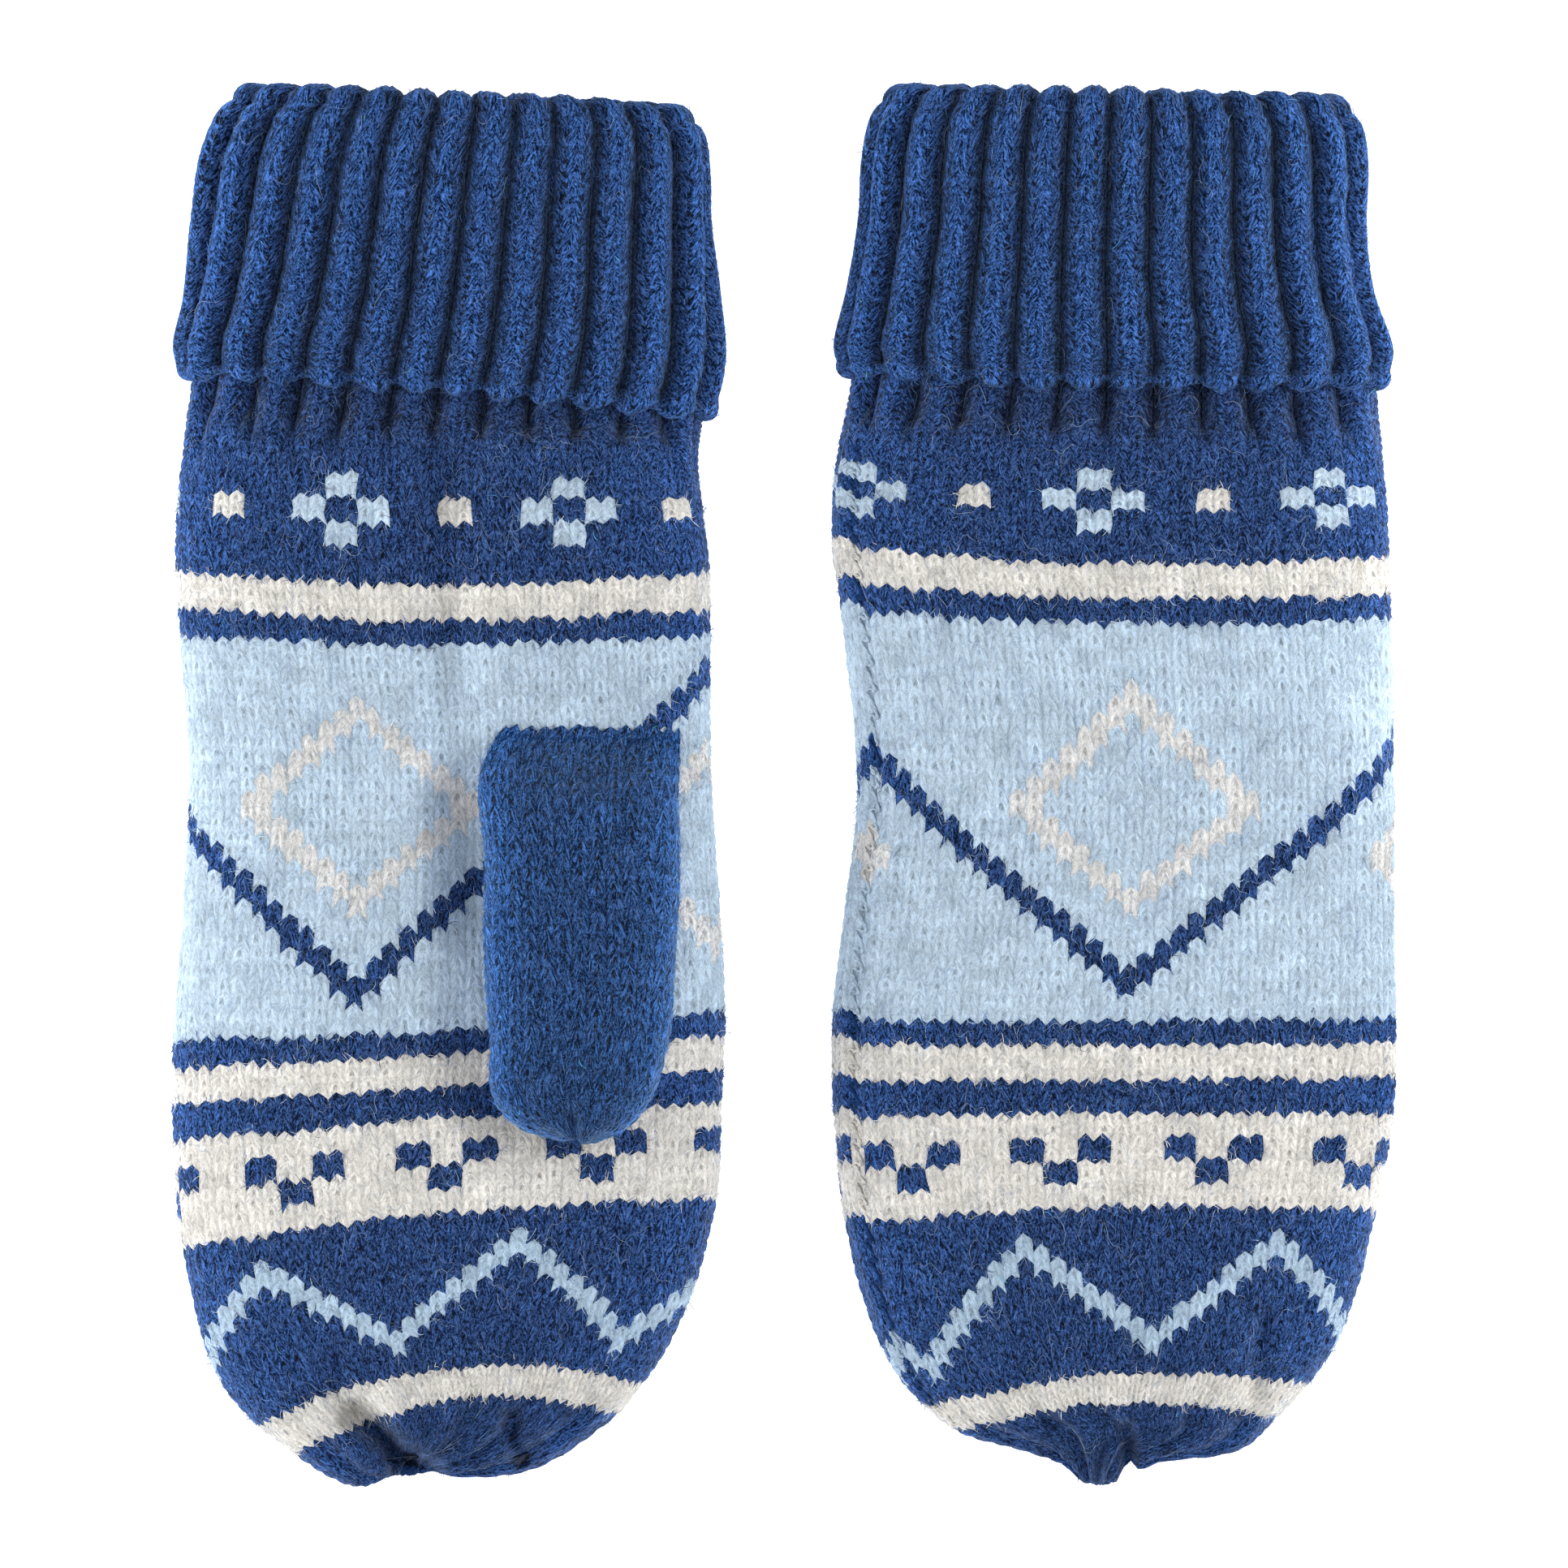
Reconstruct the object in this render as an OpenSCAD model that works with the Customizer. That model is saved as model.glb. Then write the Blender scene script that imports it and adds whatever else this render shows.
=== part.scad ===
// A pair of knitted mittens lying flat with turned-back ribbed cuffs.
// The left mitten lies palm up with its thumb on top, the right one back up on its thumb.
// Origin: middle of the pair, on the surface it lies on. +X right, +Y to the cuffs, +Z up.

/* [Hand] */
// Width of each mitten across the hand
hand_w = 100; // [96:1:104]
// Thickness of each mitten lying flat
hand_thick = 24; // [24:1:28]
// Length of each mitten from fingertip to the fold of its cuff
mitten_len = 254; // [246:1:270]
// Thickness of the knitted fabric
fabric = 3; // [2.5:0.1:3]
// Gap between the hands of the two mittens
pair_gap = 20; // [18:1:60]

/* [Cuff] */
// Length of the ribbed part from the hand to the fold
cuff_len = 65; // [62:1:70]
// Length of the turned-back layer, with its cast-on edge
turnback_len = 58; // [50:1:58]
// Width of the cuff at its cast-on edge
cuff_edge_w = 101; // [98:1:102]
// Width of the cuff at the fold
cuff_fold_w = 89; // [86:1:94]

/* [Thumb] */
// Width of the thumb
thumb_w = 35; // [34:1:36]
// Length of the thumb
thumb_len = 74; // [70:1:76]
// Thickness of the thumb lying flat
thumb_thick = 12; // [12:0.5:12]
// Distance from the fingertip to the straight base of the thumb
thumb_base_y = 137; // [134:1:142]
// Distance of the thumb's middle from the middle of the hand
thumb_side = 24; // [22:1:25]
// How far the left thumb presses into the palm it lies on
left_sink = 4; // [3:0.5:6]
// Outward swing of a thumb, in degrees
thumb_swing = 35; // [20:1:35]

/* [Hidden] */
$fn = 64;

navy = [0.16, 0.25, 0.43];
light_blue = [0.72, 0.80, 0.87];
cream = [0.87, 0.86, 0.82];

// The right thumb lies wholly inside a dent of the palm, because the mitten rests on it
right_sink = thumb_thick;

centre_x = (hand_w + pair_gap) / 2;
mid_z = hand_thick / 2;
top_y = mitten_len / 2;
gather_proud = 1;
tip_y = -mitten_len / 2 + gather_proud;
tip_centre_y = tip_y + hand_w / 2;
hand_end_y = top_y - cuff_len;

// Cuff layers, from the cast-on edge up to the fold
slide_gap = 0.4;
edge_y = top_y - turnback_len;
edge_h = 6;
rim_y = top_y - 6;
fold_thin = 2;
fold_round = 2;
rib_inset = fabric + slide_gap;
mouth_inset = rib_inset + fabric;
slab = 0.02;

// Thumb, measured from the pivot in the middle of its round neck
thumb_wall = 2.5;
pivot_back = 14;
pivot_y = -mitten_len / 2 + thumb_base_y - pivot_back;
tip_reach = thumb_len - pivot_back - thumb_w / 2;
neck_r = 11;
neck_hole_r = 8.5;
neck_gap = 0.3;
dent_gap = 0.6;
lift_gap = 0.4;

// Yarns
gather_r = 2.6;
yarn_r = 1.3;
tail_w = 1.8;
tail_h = 1.2;
tail_len = 28;
seam_h = 3;
seam_deep = 2.4;

// Flat tube section, as wide as w and as thick as t, with round sides
module stadium(w, t) {
    square([w - t, t], center = true);
    for (side = [-1, 1]) translate([side * (w - t) / 2, 0]) circle(d = t);
}

// The stadium carried along Y from y0 to y1
module flat_tube(w, t, y0, y1) {
    translate([0, y1, 0]) rotate([90, 0, 0]) linear_extrude(y1 - y0) stadium(w, t);
}

// Round tip with the same section
module flat_tip(w, t) {
    rotate_extrude() {
        translate([0, -t / 2]) square([(w - t) / 2, t]);
        intersection() {
            translate([(w - t) / 2, 0]) circle(d = t);
            translate([0, -t / 2]) square([w / 2, t]);
        }
    }
}

// The hand's form, shrunk by inset all round and longer by extra at the cuff
module hand_form(inset, extra) {
    w = hand_w - 2 * inset;
    t = hand_thick - 2 * inset;
    translate([0, 0, mid_z]) flat_tube(w, t, tip_centre_y, hand_end_y + extra);
    translate([0, tip_centre_y, mid_z]) flat_tip(w, t);
}

// The thumb's plan, grown by margin
module thumb_plan(margin) {
    translate([-thumb_w / 2 - margin, -tip_reach])
        square([thumb_w + 2 * margin, tip_reach + pivot_back + margin]);
    translate([0, -tip_reach]) circle(d = thumb_w + 2 * margin);
}

// All the ground that the swinging thumb covers
module swing_plan(margin) {
    reach = tip_reach + thumb_w / 2 + margin;
    far = 2 * reach;
    thumb_plan(margin);
    rotate(thumb_swing) thumb_plan(margin);
    circle(r = norm([thumb_w / 2, pivot_back]) + margin);
    intersection() {
        circle(r = reach);
        polygon([[0, 0], [0, -far], [far * sin(thumb_swing), -far * cos(thumb_swing)]]);
    }
}

module at_pivot(z) {
    translate([thumb_side, pivot_y, z]) children();
}

// Hollow hand, with a dent where the thumb lies and a round hole for its neck
module hand_knit(sink) {
    dent_z = hand_thick - sink - lift_gap;
    pan_z = dent_z - thumb_wall;
    color(light_blue) difference() {
        union() {
            difference() {
                hand_form(0, 0);
                hand_form(fabric, 1);
            }
            intersection() {
                hand_form(0, 0);
                at_pivot(pan_z) linear_extrude(hand_thick) swing_plan(dent_gap + thumb_wall);
            }
        }
        at_pivot(dent_z) linear_extrude(hand_thick) swing_plan(dent_gap);
        at_pivot(pan_z - 1) cylinder(h = thumb_wall + 2, r = neck_r + neck_gap);
    }
}

// Sewn seam: a ridge inside the little-finger side
module side_seam() {
    color(light_blue) intersection() {
        hand_form(fabric, -slide_gap);
        translate([-hand_w / 2, tip_centre_y, mid_z - seam_h / 2])
            cube([fabric + seam_deep, hand_end_y - tip_centre_y, seam_h]);
    }
}

// Ring of yarn that draws the last stitches together
module gather_ring() {
    rotate([90, 0, 0]) rotate_extrude() translate([gather_r, 0]) circle(r = yarn_r, $fn = 24);
}

module tip_gather() {
    color(navy) translate([0, tip_y - gather_proud + yarn_r, mid_z]) gather_ring();
}

// Yarn tails woven in on the inside of the back, one for each yarn
module woven_ends() {
    color(cream) for (i = [0:2])
        translate([-hand_w / 2 + 14 + 5 * i, tip_centre_y + 20 + 42 * i, fabric])
            linear_extrude(tail_h) {
                square([tail_w, tail_len]);
                for (end = [0, tail_len]) translate([tail_w / 2, end]) circle(d = tail_w);
            }
}

function cuff_part(y) = (y - edge_y) / (top_y - edge_y);
function cuff_w(y) = cuff_edge_w + (cuff_fold_w - cuff_edge_w) * cuff_part(y);
function cuff_t(y) = hand_thick - fold_thin * cuff_part(y);

// Thin slice of the cuff at y, shrunk by inset; it reaches up from y, or down when below is true
module cuff_slice(y, inset, below = false) {
    y0 = below ? y - slab : y;
    translate([0, 0, mid_z])
        flat_tube(cuff_w(y) - 2 * inset, cuff_t(y) - 2 * inset, y0, y0 + slab, $fn = 32);
}

// The space inside the cuff between two heights, shrunk by inset
module cuff_form(y0, y1, inset) {
    hull() {
        cuff_slice(y0, inset);
        cuff_slice(y1, inset, true);
    }
}

// Inner layer of ribbing, which grows out of the hand
module cuff_rib() {
    rib_top = rim_y - slide_gap;
    color(navy) difference() {
        union() {
            cuff_form(edge_y - 1, rib_top, rib_inset);
            hull() {
                translate([0, 0, mid_z])
                    flat_tube(hand_w, hand_thick, hand_end_y, hand_end_y + slab, $fn = 32);
                cuff_slice(edge_y - 1, rib_inset, true);
            }
        }
        cuff_form(hand_end_y - 1, rib_top + 1, mouth_inset);
    }
}

// Outer layer of ribbing, folded back over the inner one
module cuff_turnback() {
    color(navy) difference() {
        hull() {
            cuff_slice(edge_y + edge_h, 0);
            cuff_slice(top_y - 3, 0);
            cuff_slice(top_y, fold_round, true);
        }
        cuff_form(edge_y + edge_h - 1, rim_y, fabric);
        cuff_form(rim_y - 1, top_y + 1, mouth_inset);
    }
}

// Thick cast-on row at the end of the turned-back layer
module cuff_edge() {
    color(navy) difference() {
        cuff_form(edge_y, edge_y + edge_h, 0);
        cuff_form(edge_y - 1, edge_y + edge_h + 1, fabric);
    }
}

module thumb_form(inset) {
    w = thumb_w - 2 * inset;
    t = thumb_thick - 2 * inset;
    translate([0, 0, thumb_thick / 2]) {
        flat_tube(w, t, -tip_reach, pivot_back - inset);
        translate([0, -tip_reach, 0]) flat_tip(w, t);
    }
}

// Hollow thumb, open into the hand through its neck
module thumb_tube(sink) {
    color(navy) at_pivot(hand_thick - sink) difference() {
        thumb_form(0);
        thumb_form(thumb_wall);
        translate([0, 0, -1]) cylinder(h = thumb_wall + 2, r = neck_hole_r);
    }
}

// Ring of stitches picked up round the thumb opening
module thumb_pickup_ring(sink) {
    ring_h = thumb_wall + lift_gap;
    color(navy) at_pivot(hand_thick - sink - ring_h) difference() {
        cylinder(h = ring_h, r = neck_r);
        translate([0, 0, -1]) cylinder(h = ring_h + 2, r = neck_hole_r);
    }
}

module thumb_gather(sink) {
    color(navy) at_pivot(hand_thick - sink + thumb_thick / 2)
        translate([0, -tip_reach - thumb_w / 2 + yarn_r, 0]) gather_ring();
}

module left() {
    translate([-centre_x, 0, 0]) children();
}

// The right mitten is the left one turned over
module right() {
    translate([centre_x, 0, hand_thick]) mirror([0, 0, 1]) children();
}

left() hand_knit(left_sink);  // left_hand_knit
left() side_seam();  // left_side_seam
left() tip_gather();  // left_tip_gather
left() woven_ends();  // left_woven_ends
left() cuff_rib();  // left_cuff_rib
left() cuff_turnback();  // left_cuff_turnback
left() cuff_edge();  // left_cuff_edge
left() thumb_tube(left_sink);  // left_thumb_tube
left() thumb_pickup_ring(left_sink);  // left_thumb_pickup_ring
left() thumb_gather(left_sink);  // left_thumb_gather
right() hand_knit(right_sink);  // right_hand_knit
right() side_seam();  // right_side_seam
right() tip_gather();  // right_tip_gather
right() woven_ends();  // right_woven_ends
right() cuff_rib();  // right_cuff_rib
right() cuff_turnback();  // right_cuff_turnback
right() cuff_edge();  // right_cuff_edge
right() thumb_tube(right_sink);  // right_thumb_tube
right() thumb_pickup_ring(right_sink);  // right_thumb_pickup_ring
right() thumb_gather(right_sink);  // right_thumb_gather
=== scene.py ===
"""Looks for a pair of knitted wool mittens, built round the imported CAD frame.

Each mitten is one stranded-knit tube. Its surface is a grid with four columns and about four
rows of mesh to each stitch, so that stitches, ribs, gathers and the toothed edges between two
colours are real geometry. The colour of each stitch comes from small chart functions. Loose
fibres are thin closed tubes that stand on those surfaces.
"""

import math

import bpy
import numpy as np
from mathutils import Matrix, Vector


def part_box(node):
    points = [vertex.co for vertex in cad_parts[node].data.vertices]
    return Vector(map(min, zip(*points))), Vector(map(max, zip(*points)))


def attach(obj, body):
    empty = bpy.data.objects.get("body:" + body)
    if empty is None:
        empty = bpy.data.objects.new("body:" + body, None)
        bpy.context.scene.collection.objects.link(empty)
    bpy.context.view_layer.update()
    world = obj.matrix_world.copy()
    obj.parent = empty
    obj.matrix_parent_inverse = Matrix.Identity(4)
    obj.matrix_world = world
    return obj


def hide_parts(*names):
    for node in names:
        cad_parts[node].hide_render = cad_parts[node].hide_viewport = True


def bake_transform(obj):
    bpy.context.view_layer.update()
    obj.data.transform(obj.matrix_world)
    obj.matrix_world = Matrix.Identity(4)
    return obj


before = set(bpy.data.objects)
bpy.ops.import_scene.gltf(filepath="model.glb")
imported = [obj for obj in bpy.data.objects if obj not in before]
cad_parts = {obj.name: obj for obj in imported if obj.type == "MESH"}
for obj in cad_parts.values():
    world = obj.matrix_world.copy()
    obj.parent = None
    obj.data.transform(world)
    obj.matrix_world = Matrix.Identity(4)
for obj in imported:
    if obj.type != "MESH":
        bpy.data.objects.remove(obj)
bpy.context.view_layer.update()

MM = 0.001
PER_STITCH = 4  # mesh columns in one stitch
FRONT = 18  # stitches from a mitten's middle to its side edge, on the upper face
STITCHES = 75  # stitches round a mitten
ROWS = 86  # rows of knitting from wrist to fingertip
COLUMNS = STITCHES * PER_STITCH
TOOTH = 0.5  # how far, in rows, a stitch reaches into the next one
STITCH_SPREAD = 0.05  # how much lighter or darker one stitch is than the next
RIB_KNIT = 0.43  # share of a rib's width that each of its two knit stitches takes
RIB_DEPTH, CUFF_RIB_DEPTH = 3.2, 3.8  # of the grooves between the ribs, mm
HAND_RELIEF, THUMB_RELIEF, CUFF_RELIEF = 0.34, 0.36, 0.5  # how far single stitches stand out, mm
SEAM_DEPTH, SEAM_WIDTH = 0.8, 0.5  # of the seam's groove: mm, and stitches to either side
TOP = 22.5  # height of the upper face of a hand, mm
MIDDLE = 9.0  # height of its side edges
UPPER_POWER, LOWER_POWER = 2.6, 5.0  # how square the section is above and below its side edges
FLOOR = 0.05  # nothing knitted lies lower than this, mm
CUFF_TOP = 24.0  # height of the upper face of a cuff at its cast-on edge
LAYER = 3.0  # thickness of one layer of ribbing
INSIDE = 2.2  # depth of the fabric's inner face
RIB_START = -25  # first row of the inner ribbing, up inside the fold
TIP_MESH = 75  # from this row on, a stitch of the hand has three mesh rows instead of four
TIP_START = 68  # from this row on, the hand gets thinner towards the fingertip
TURNBACK_ROWS = 27  # rows of knitting in the turned-back layer
CUFF_STITCHES = 81  # stitches round the turned-back layer
TIGHTER = CUFF_STITCHES / STITCHES

THUMB_SWING = 35  # degrees
THUMB_PIVOT = 14  # from the thumb's first row to the middle of its round base, mm
THUMB_REACH = 43  # from there to the middle of its round tip
THUMB_NEAR, THUMB_FAR = 18.5, 30  # from its axis: full room in the palm as far as one, then less

NAVY, BLUE, CREAM, FRAME_CREAM, LINE_BLUE = range(5)


def linear(red, green, blue):
    """An sRGB colour, 0 to 255, as linear light."""
    c = np.array([red, green, blue]) / 255
    return np.where(c <= 0.04045, c / 12.92, ((c + 0.055) / 1.055) ** 2.4)


YARNS = np.array(
    [
        linear(22, 51, 96),  # NAVY
        linear(187, 206, 222),  # BLUE
        linear(223, 219, 212),  # CREAM
        linear(217, 216, 214),  # FRAME_CREAM, the diamonds on blue
        linear(175, 197, 216),  # LINE_BLUE, the zigzag on navy
    ]
)
RIB_NAVY = linear(33, 70, 126)
THUMB_NAVY = linear(22, 57, 103)

# Each mitten's own numbers. Positions across are in stitches from its middle. jog is how far the
# rows drop at the seam, in mm, rib_phase shifts the ribs and rib_lean slants them at the fold.
SIDES = {
    "left": {
        "flower": -6.0,
        "valley": -5.5,
        "seam": -20.7,
        "group": 0.0,
        "peak": 4.5,
        "jog": 0.0,
        "rib_phase": 0.0,
        "rib_lean": 1.6,
        # row, left edge x and y, right edge x and y, rise of its middle: mm from wrist middle
        "outline": [
            (-24, -40.8, 57.8, 43.0, 54.9, 0.0),
            (-8, -46.7, 14.4, 44.8, 6.4, 0.0),
            (0, -48.4, 0.5, 44.1, -2.5, 0.3),
            (12, -49.9, -23.3, 45.8, -23.6, -2.6),
            (17, -49.1, -34.8, 46.1, -34.8, -2.1),
            (27, -47.4, -60.5, 46.7, -59.1, -1.3),
            (36, -48.9, -83.3, 47.9, -80.4, -0.8),
            (45, -50.6, -108.7, 49.3, -103.5, -0.4),
            (53, -50.5, -126.7, 48.5, -119.8, 0.9),
            (61, -49.0, -146.1, 47.1, -137.4, 2.4),
            (75, -35.2, -177.8, 34.2, -170.5, 6.7),
            (78, -28.3, -183.0, 29.1, -176.2, 6.3),
            (82, -18.7, -188.2, 13.5, -185.6, 5.6),
            (86, -12.0, -187.2, -5.0, -187.0, 0.0),
        ],
        # share of the way from fold to cast-on edge, then as above
        "turnback": [
            (0.0, -39.6, 61.6, 43.4, 57.4, 0.3),
            (0.03, -41.6, 60.2, 44.8, 56.4, 0.3),
            (0.07, -43.3, 57.3, 45.8, 53.7, 0.3),
            (0.12, -44.6, 53.6, 46.3, 50.2, 0.3),
            (0.3, -46.3, 42.0, 46.8, 40.0, 0.2),
            (0.6, -48.3, 26.5, 48.2, 26.0, 0.5),
            (0.85, -50.2, 17.5, 48.8, 13.5, 0.8),
            (1.0, -49.3, 13.5, 47.2, 6.0, 0.8),
        ],
    },
    "right": {
        "flower": -1.0,
        "valley": 0.5,
        "seam": -15.5,
        "group": -3.0,
        "peak": -5.5,
        "jog": 1.7,
        "rib_phase": 0.0,
        "rib_lean": 0.0,
        "outline": [
            (-24, -42.4, 57.8, 42.1, 57.8, 0.0),
            (-8, -47.3, 12.2, 46.8, 11.5, 0.0),
            (0, -49.6, 0.5, 48.0, -0.3, -0.4),
            (12, -50.7, -18.8, 49.6, -20.8, -2.5),
            (17, -48.9, -30.5, 49.9, -32.3, -1.6),
            (27, -46.5, -59.8, 50.2, -59.8, -1.0),
            (37, -48.8, -84.8, 50.5, -84.8, -0.6),
            (45, -50.8, -104.5, 50.6, -104.2, -0.5),
            (53, -50.8, -122.6, 49.4, -121.8, 0.7),
            (61, -48.5, -141.7, 46.5, -139.2, 2.1),
            (75, -34.3, -174.7, 34.7, -170.8, 4.1),
            (78, -28.5, -179.2, 28.9, -176.7, 4.0),
            (82, -16.0, -182.6, 19.5, -183.0, 3.0),
            (84, -9.6, -184.6, 8.0, -184.2, 1.2),
            (86, -5.6, -188.6, 0.2, -188.6, 0.0),
        ],
        "turnback": [
            (0.0, -41.5, 61.3, 42.0, 59.0, 0.2),
            (0.03, -43.2, 59.6, 43.5, 57.4, 0.2),
            (0.07, -44.3, 56.6, 44.4, 54.8, 0.1),
            (0.12, -45.0, 52.6, 44.8, 51.0, 0.1),
            (0.3, -45.7, 42.0, 44.8, 40.5, 0.0),
            (0.6, -48.1, 28.0, 46.8, 27.5, -0.6),
            (0.85, -50.6, 17.5, 50.2, 16.5, -1.2),
            (1.0, -49.8, 14.0, 49.0, 12.0, -1.4),
        ],
    },
}
# The thumb from its first row: row, edges from the middle of its start, mm.
THUMB_ROWS = 30
THUMB_OUTLINE = [
    (0, -14.5, 0.2, 17.2, -0.2, 0.0),
    (2, -17.4, -4.5, 17.0, -5.0, 0.0),
    (9, -17.9, -22.5, 16.7, -22.5, 0.0),
    (17, -17.5, -43.0, 16.3, -43.0, 0.0),
    (22, -17.0, -56.0, 14.7, -56.0, 0.3),
    (25, -16.6, -64.5, 12.4, -65.0, 0.8),
    (27, -14.5, -68.8, 10.0, -69.6, 1.2),
    (28.5, -10.5, -72.0, 6.5, -72.8, 1.2),
    (30, -4.5, -74.0, 2.0, -75.0, 0.0),
]


# ---- numbers and curves


def smooth(x, low=0.0, high=1.0):
    """0 below low, 1 above high, and a smooth step between."""
    t = np.clip((np.asarray(x, float) - low) / (high - low), 0, 1)
    return t * t * (3 - 2 * t)


def through(keys, values, x):
    """A smooth curve through the key points, read at x."""
    keys = np.asarray(keys, float)
    values = np.asarray(values, float)
    slopes = np.gradient(values, keys)
    k = np.clip(np.searchsorted(keys, x) - 1, 0, len(keys) - 2)
    h = keys[k + 1] - keys[k]
    t = (np.asarray(x, float) - keys[k]) / h
    t = np.clip(t, -0.3, 1)  # goes on a little before the first key, and stops at the last
    start = (1 + 2 * t) * (1 - t) ** 2 * values[k] + t * (1 - t) ** 2 * h * slopes[k]
    end = t * t * (3 - 2 * t) * values[k + 1] + t * t * (t - 1) * h * slopes[k + 1]
    return start + end


def unit(vectors):
    """The same directions with length 1."""
    return vectors / (np.linalg.norm(vectors, axis=-1, keepdims=True) + 1e-9)


class Outline:
    """Where each row of a piece runs: both its ends and the rise of its middle, in mm."""

    def __init__(self, table, origin):
        self.table = np.array(table, float)
        self.origin = origin

    def ends(self, row):
        """Left x and y, right x and y, and rise at a row, as arrays."""
        key = self.table[:, 0]
        left_x, left_y, right_x, right_y, rise = (
            through(key, self.table[:, k], row) for k in range(1, 6)
        )
        ox, oy = self.origin
        return left_x + ox, left_y + oy, right_x + ox, right_y + oy, rise

    def at(self, row, across):
        """x and y at a row and at a share across it from -1 to 1."""
        left_x, left_y, right_x, right_y, rise = self.ends(row)
        share = (across + 1) / 2
        x = left_x + (right_x - left_x) * share
        y = left_y + (right_y - left_y) * share + rise * (1 - across**2)
        return x, y

    def find(self, x, y, guess):
        """The row and the share across it of points x, y."""
        row = np.full(np.shape(x), float(guess))
        across = np.zeros(np.shape(x))
        row_height = 2.5
        for _ in range(12):
            left_x, _, right_x, _, _ = self.ends(row)
            across = (2 * x - left_x - right_x) / (right_x - left_x)
            across = np.clip(across, -0.999, 0.999)
            row = row + (self.at(row, across)[1] - y) / row_height
        return row, across


def section(share, half_width, top, middle, low, upper_power, lower_power):
    """Points round a flattened tube: share runs 0 to 1 over the upper face from left to
    right, then 1 to 2 back under it. Returns the place across (-1 to 1) and the height."""
    turn = np.linspace(0, math.pi, 241)
    across, height = np.empty(len(share)), np.empty(len(share))
    faces = (
        (share <= 1, share, upper_power, top - middle),
        (share > 1, 2 - share, lower_power, low - middle),
    )
    for chosen, along, power, depth in faces:
        x = -np.sign(np.cos(turn)) * np.abs(np.cos(turn)) ** (2 / power)
        z = depth * np.sin(turn).clip(0) ** (2 / power)
        step = np.hypot(np.diff(x) * half_width, np.diff(z))
        length = np.concatenate([[0], np.cumsum(step)])
        length /= length[-1]
        across[chosen] = np.interp(along[chosen], length, x)
        height[chosen] = middle + np.interp(along[chosen], length, z)
    return across, height


# ---- grids of knitting


class Grid:
    """A tube of knitting: rows of closed rings of points, with stitch coordinates u and v."""

    def __init__(self, points, u, v):
        self.points = points
        self.u = np.asarray(u, float)
        self.v = np.asarray(v, float)
        self.normals = self.find_normals()

    def find_normals(self):
        """Directions out of the tube."""
        p = self.points
        du = np.roll(p, -1, 1) - np.roll(p, 1, 1)
        dv = np.gradient(p, axis=0)
        return unit(np.cross(dv, du))

    def push(self, relief):
        """Moves the surface out along its normals by relief, mm."""
        self.points = self.points + self.normals * relief[..., None]
        return self

    def part(self, first, last):
        """The rows from first to last, as a grid of their own with the same normals."""
        piece = Grid.__new__(Grid)
        piece.points = self.points[first:last]
        piece.normals = self.normals[first:last]
        piece.u, piece.v = self.u, self.v[first:last]
        return piece

    def face_centres(self):
        """u and v in the middle of each face, rows by columns."""
        step = self.u[1] - self.u[0]
        return np.meshgrid(self.u + step / 2, (self.v[1:] + self.v[:-1]) / 2)


def quads_of(rows, columns):
    """The corners of each face of a tube of rings."""
    j, i = np.meshgrid(np.arange(rows - 1), np.arange(columns), indexing="ij")
    k = (i + 1) % columns
    corners = [j * columns + i, (j + 1) * columns + i, (j + 1) * columns + k, j * columns + k]
    return np.stack(corners, -1).reshape(-1, 4)


def new_object(name, points, quads, triangles=None, colours=None, uv=None, material=None):
    """A smooth-shaded mesh object. Points are in mm; colours are one to a face."""
    mesh = bpy.data.meshes.new(name)
    triangles = np.zeros((0, 3), int) if triangles is None else triangles
    mesh.vertices.add(len(points))
    mesh.vertices.foreach_set("co", (np.asarray(points) * MM).astype(np.float32).ravel())
    corners = np.concatenate([quads.ravel(), triangles.ravel()]).astype(np.int32)
    starts = np.concatenate(
        [np.arange(len(quads)) * 4, len(quads) * 4 + np.arange(len(triangles)) * 3]
    )
    mesh.loops.add(len(corners))
    mesh.loops.foreach_set("vertex_index", corners)
    mesh.polygons.add(len(starts))
    mesh.polygons.foreach_set("loop_start", starts.astype(np.int32))
    mesh.update(calc_edges=True)
    if uv is not None:
        layer = mesh.uv_layers.new(name="UVMap")
        layer.data.foreach_set("uv", uv.astype(np.float32).ravel())
    if colours is not None:
        sizes = np.concatenate([np.full(len(quads), 4), np.full(len(triangles), 3)])
        rgba = np.ones((len(corners), 4), np.float32)
        rgba[:, :3] = np.repeat(colours, sizes, axis=0)
        layer = mesh.attributes.new("yarn", "FLOAT_COLOR", "CORNER")
        layer.data.foreach_set("color", rgba.ravel())
    mesh.shade_smooth()
    if material is not None:
        mesh.materials.append(material)
    obj = bpy.data.objects.new(name, mesh)
    bpy.context.scene.collection.objects.link(obj)
    return obj


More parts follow.
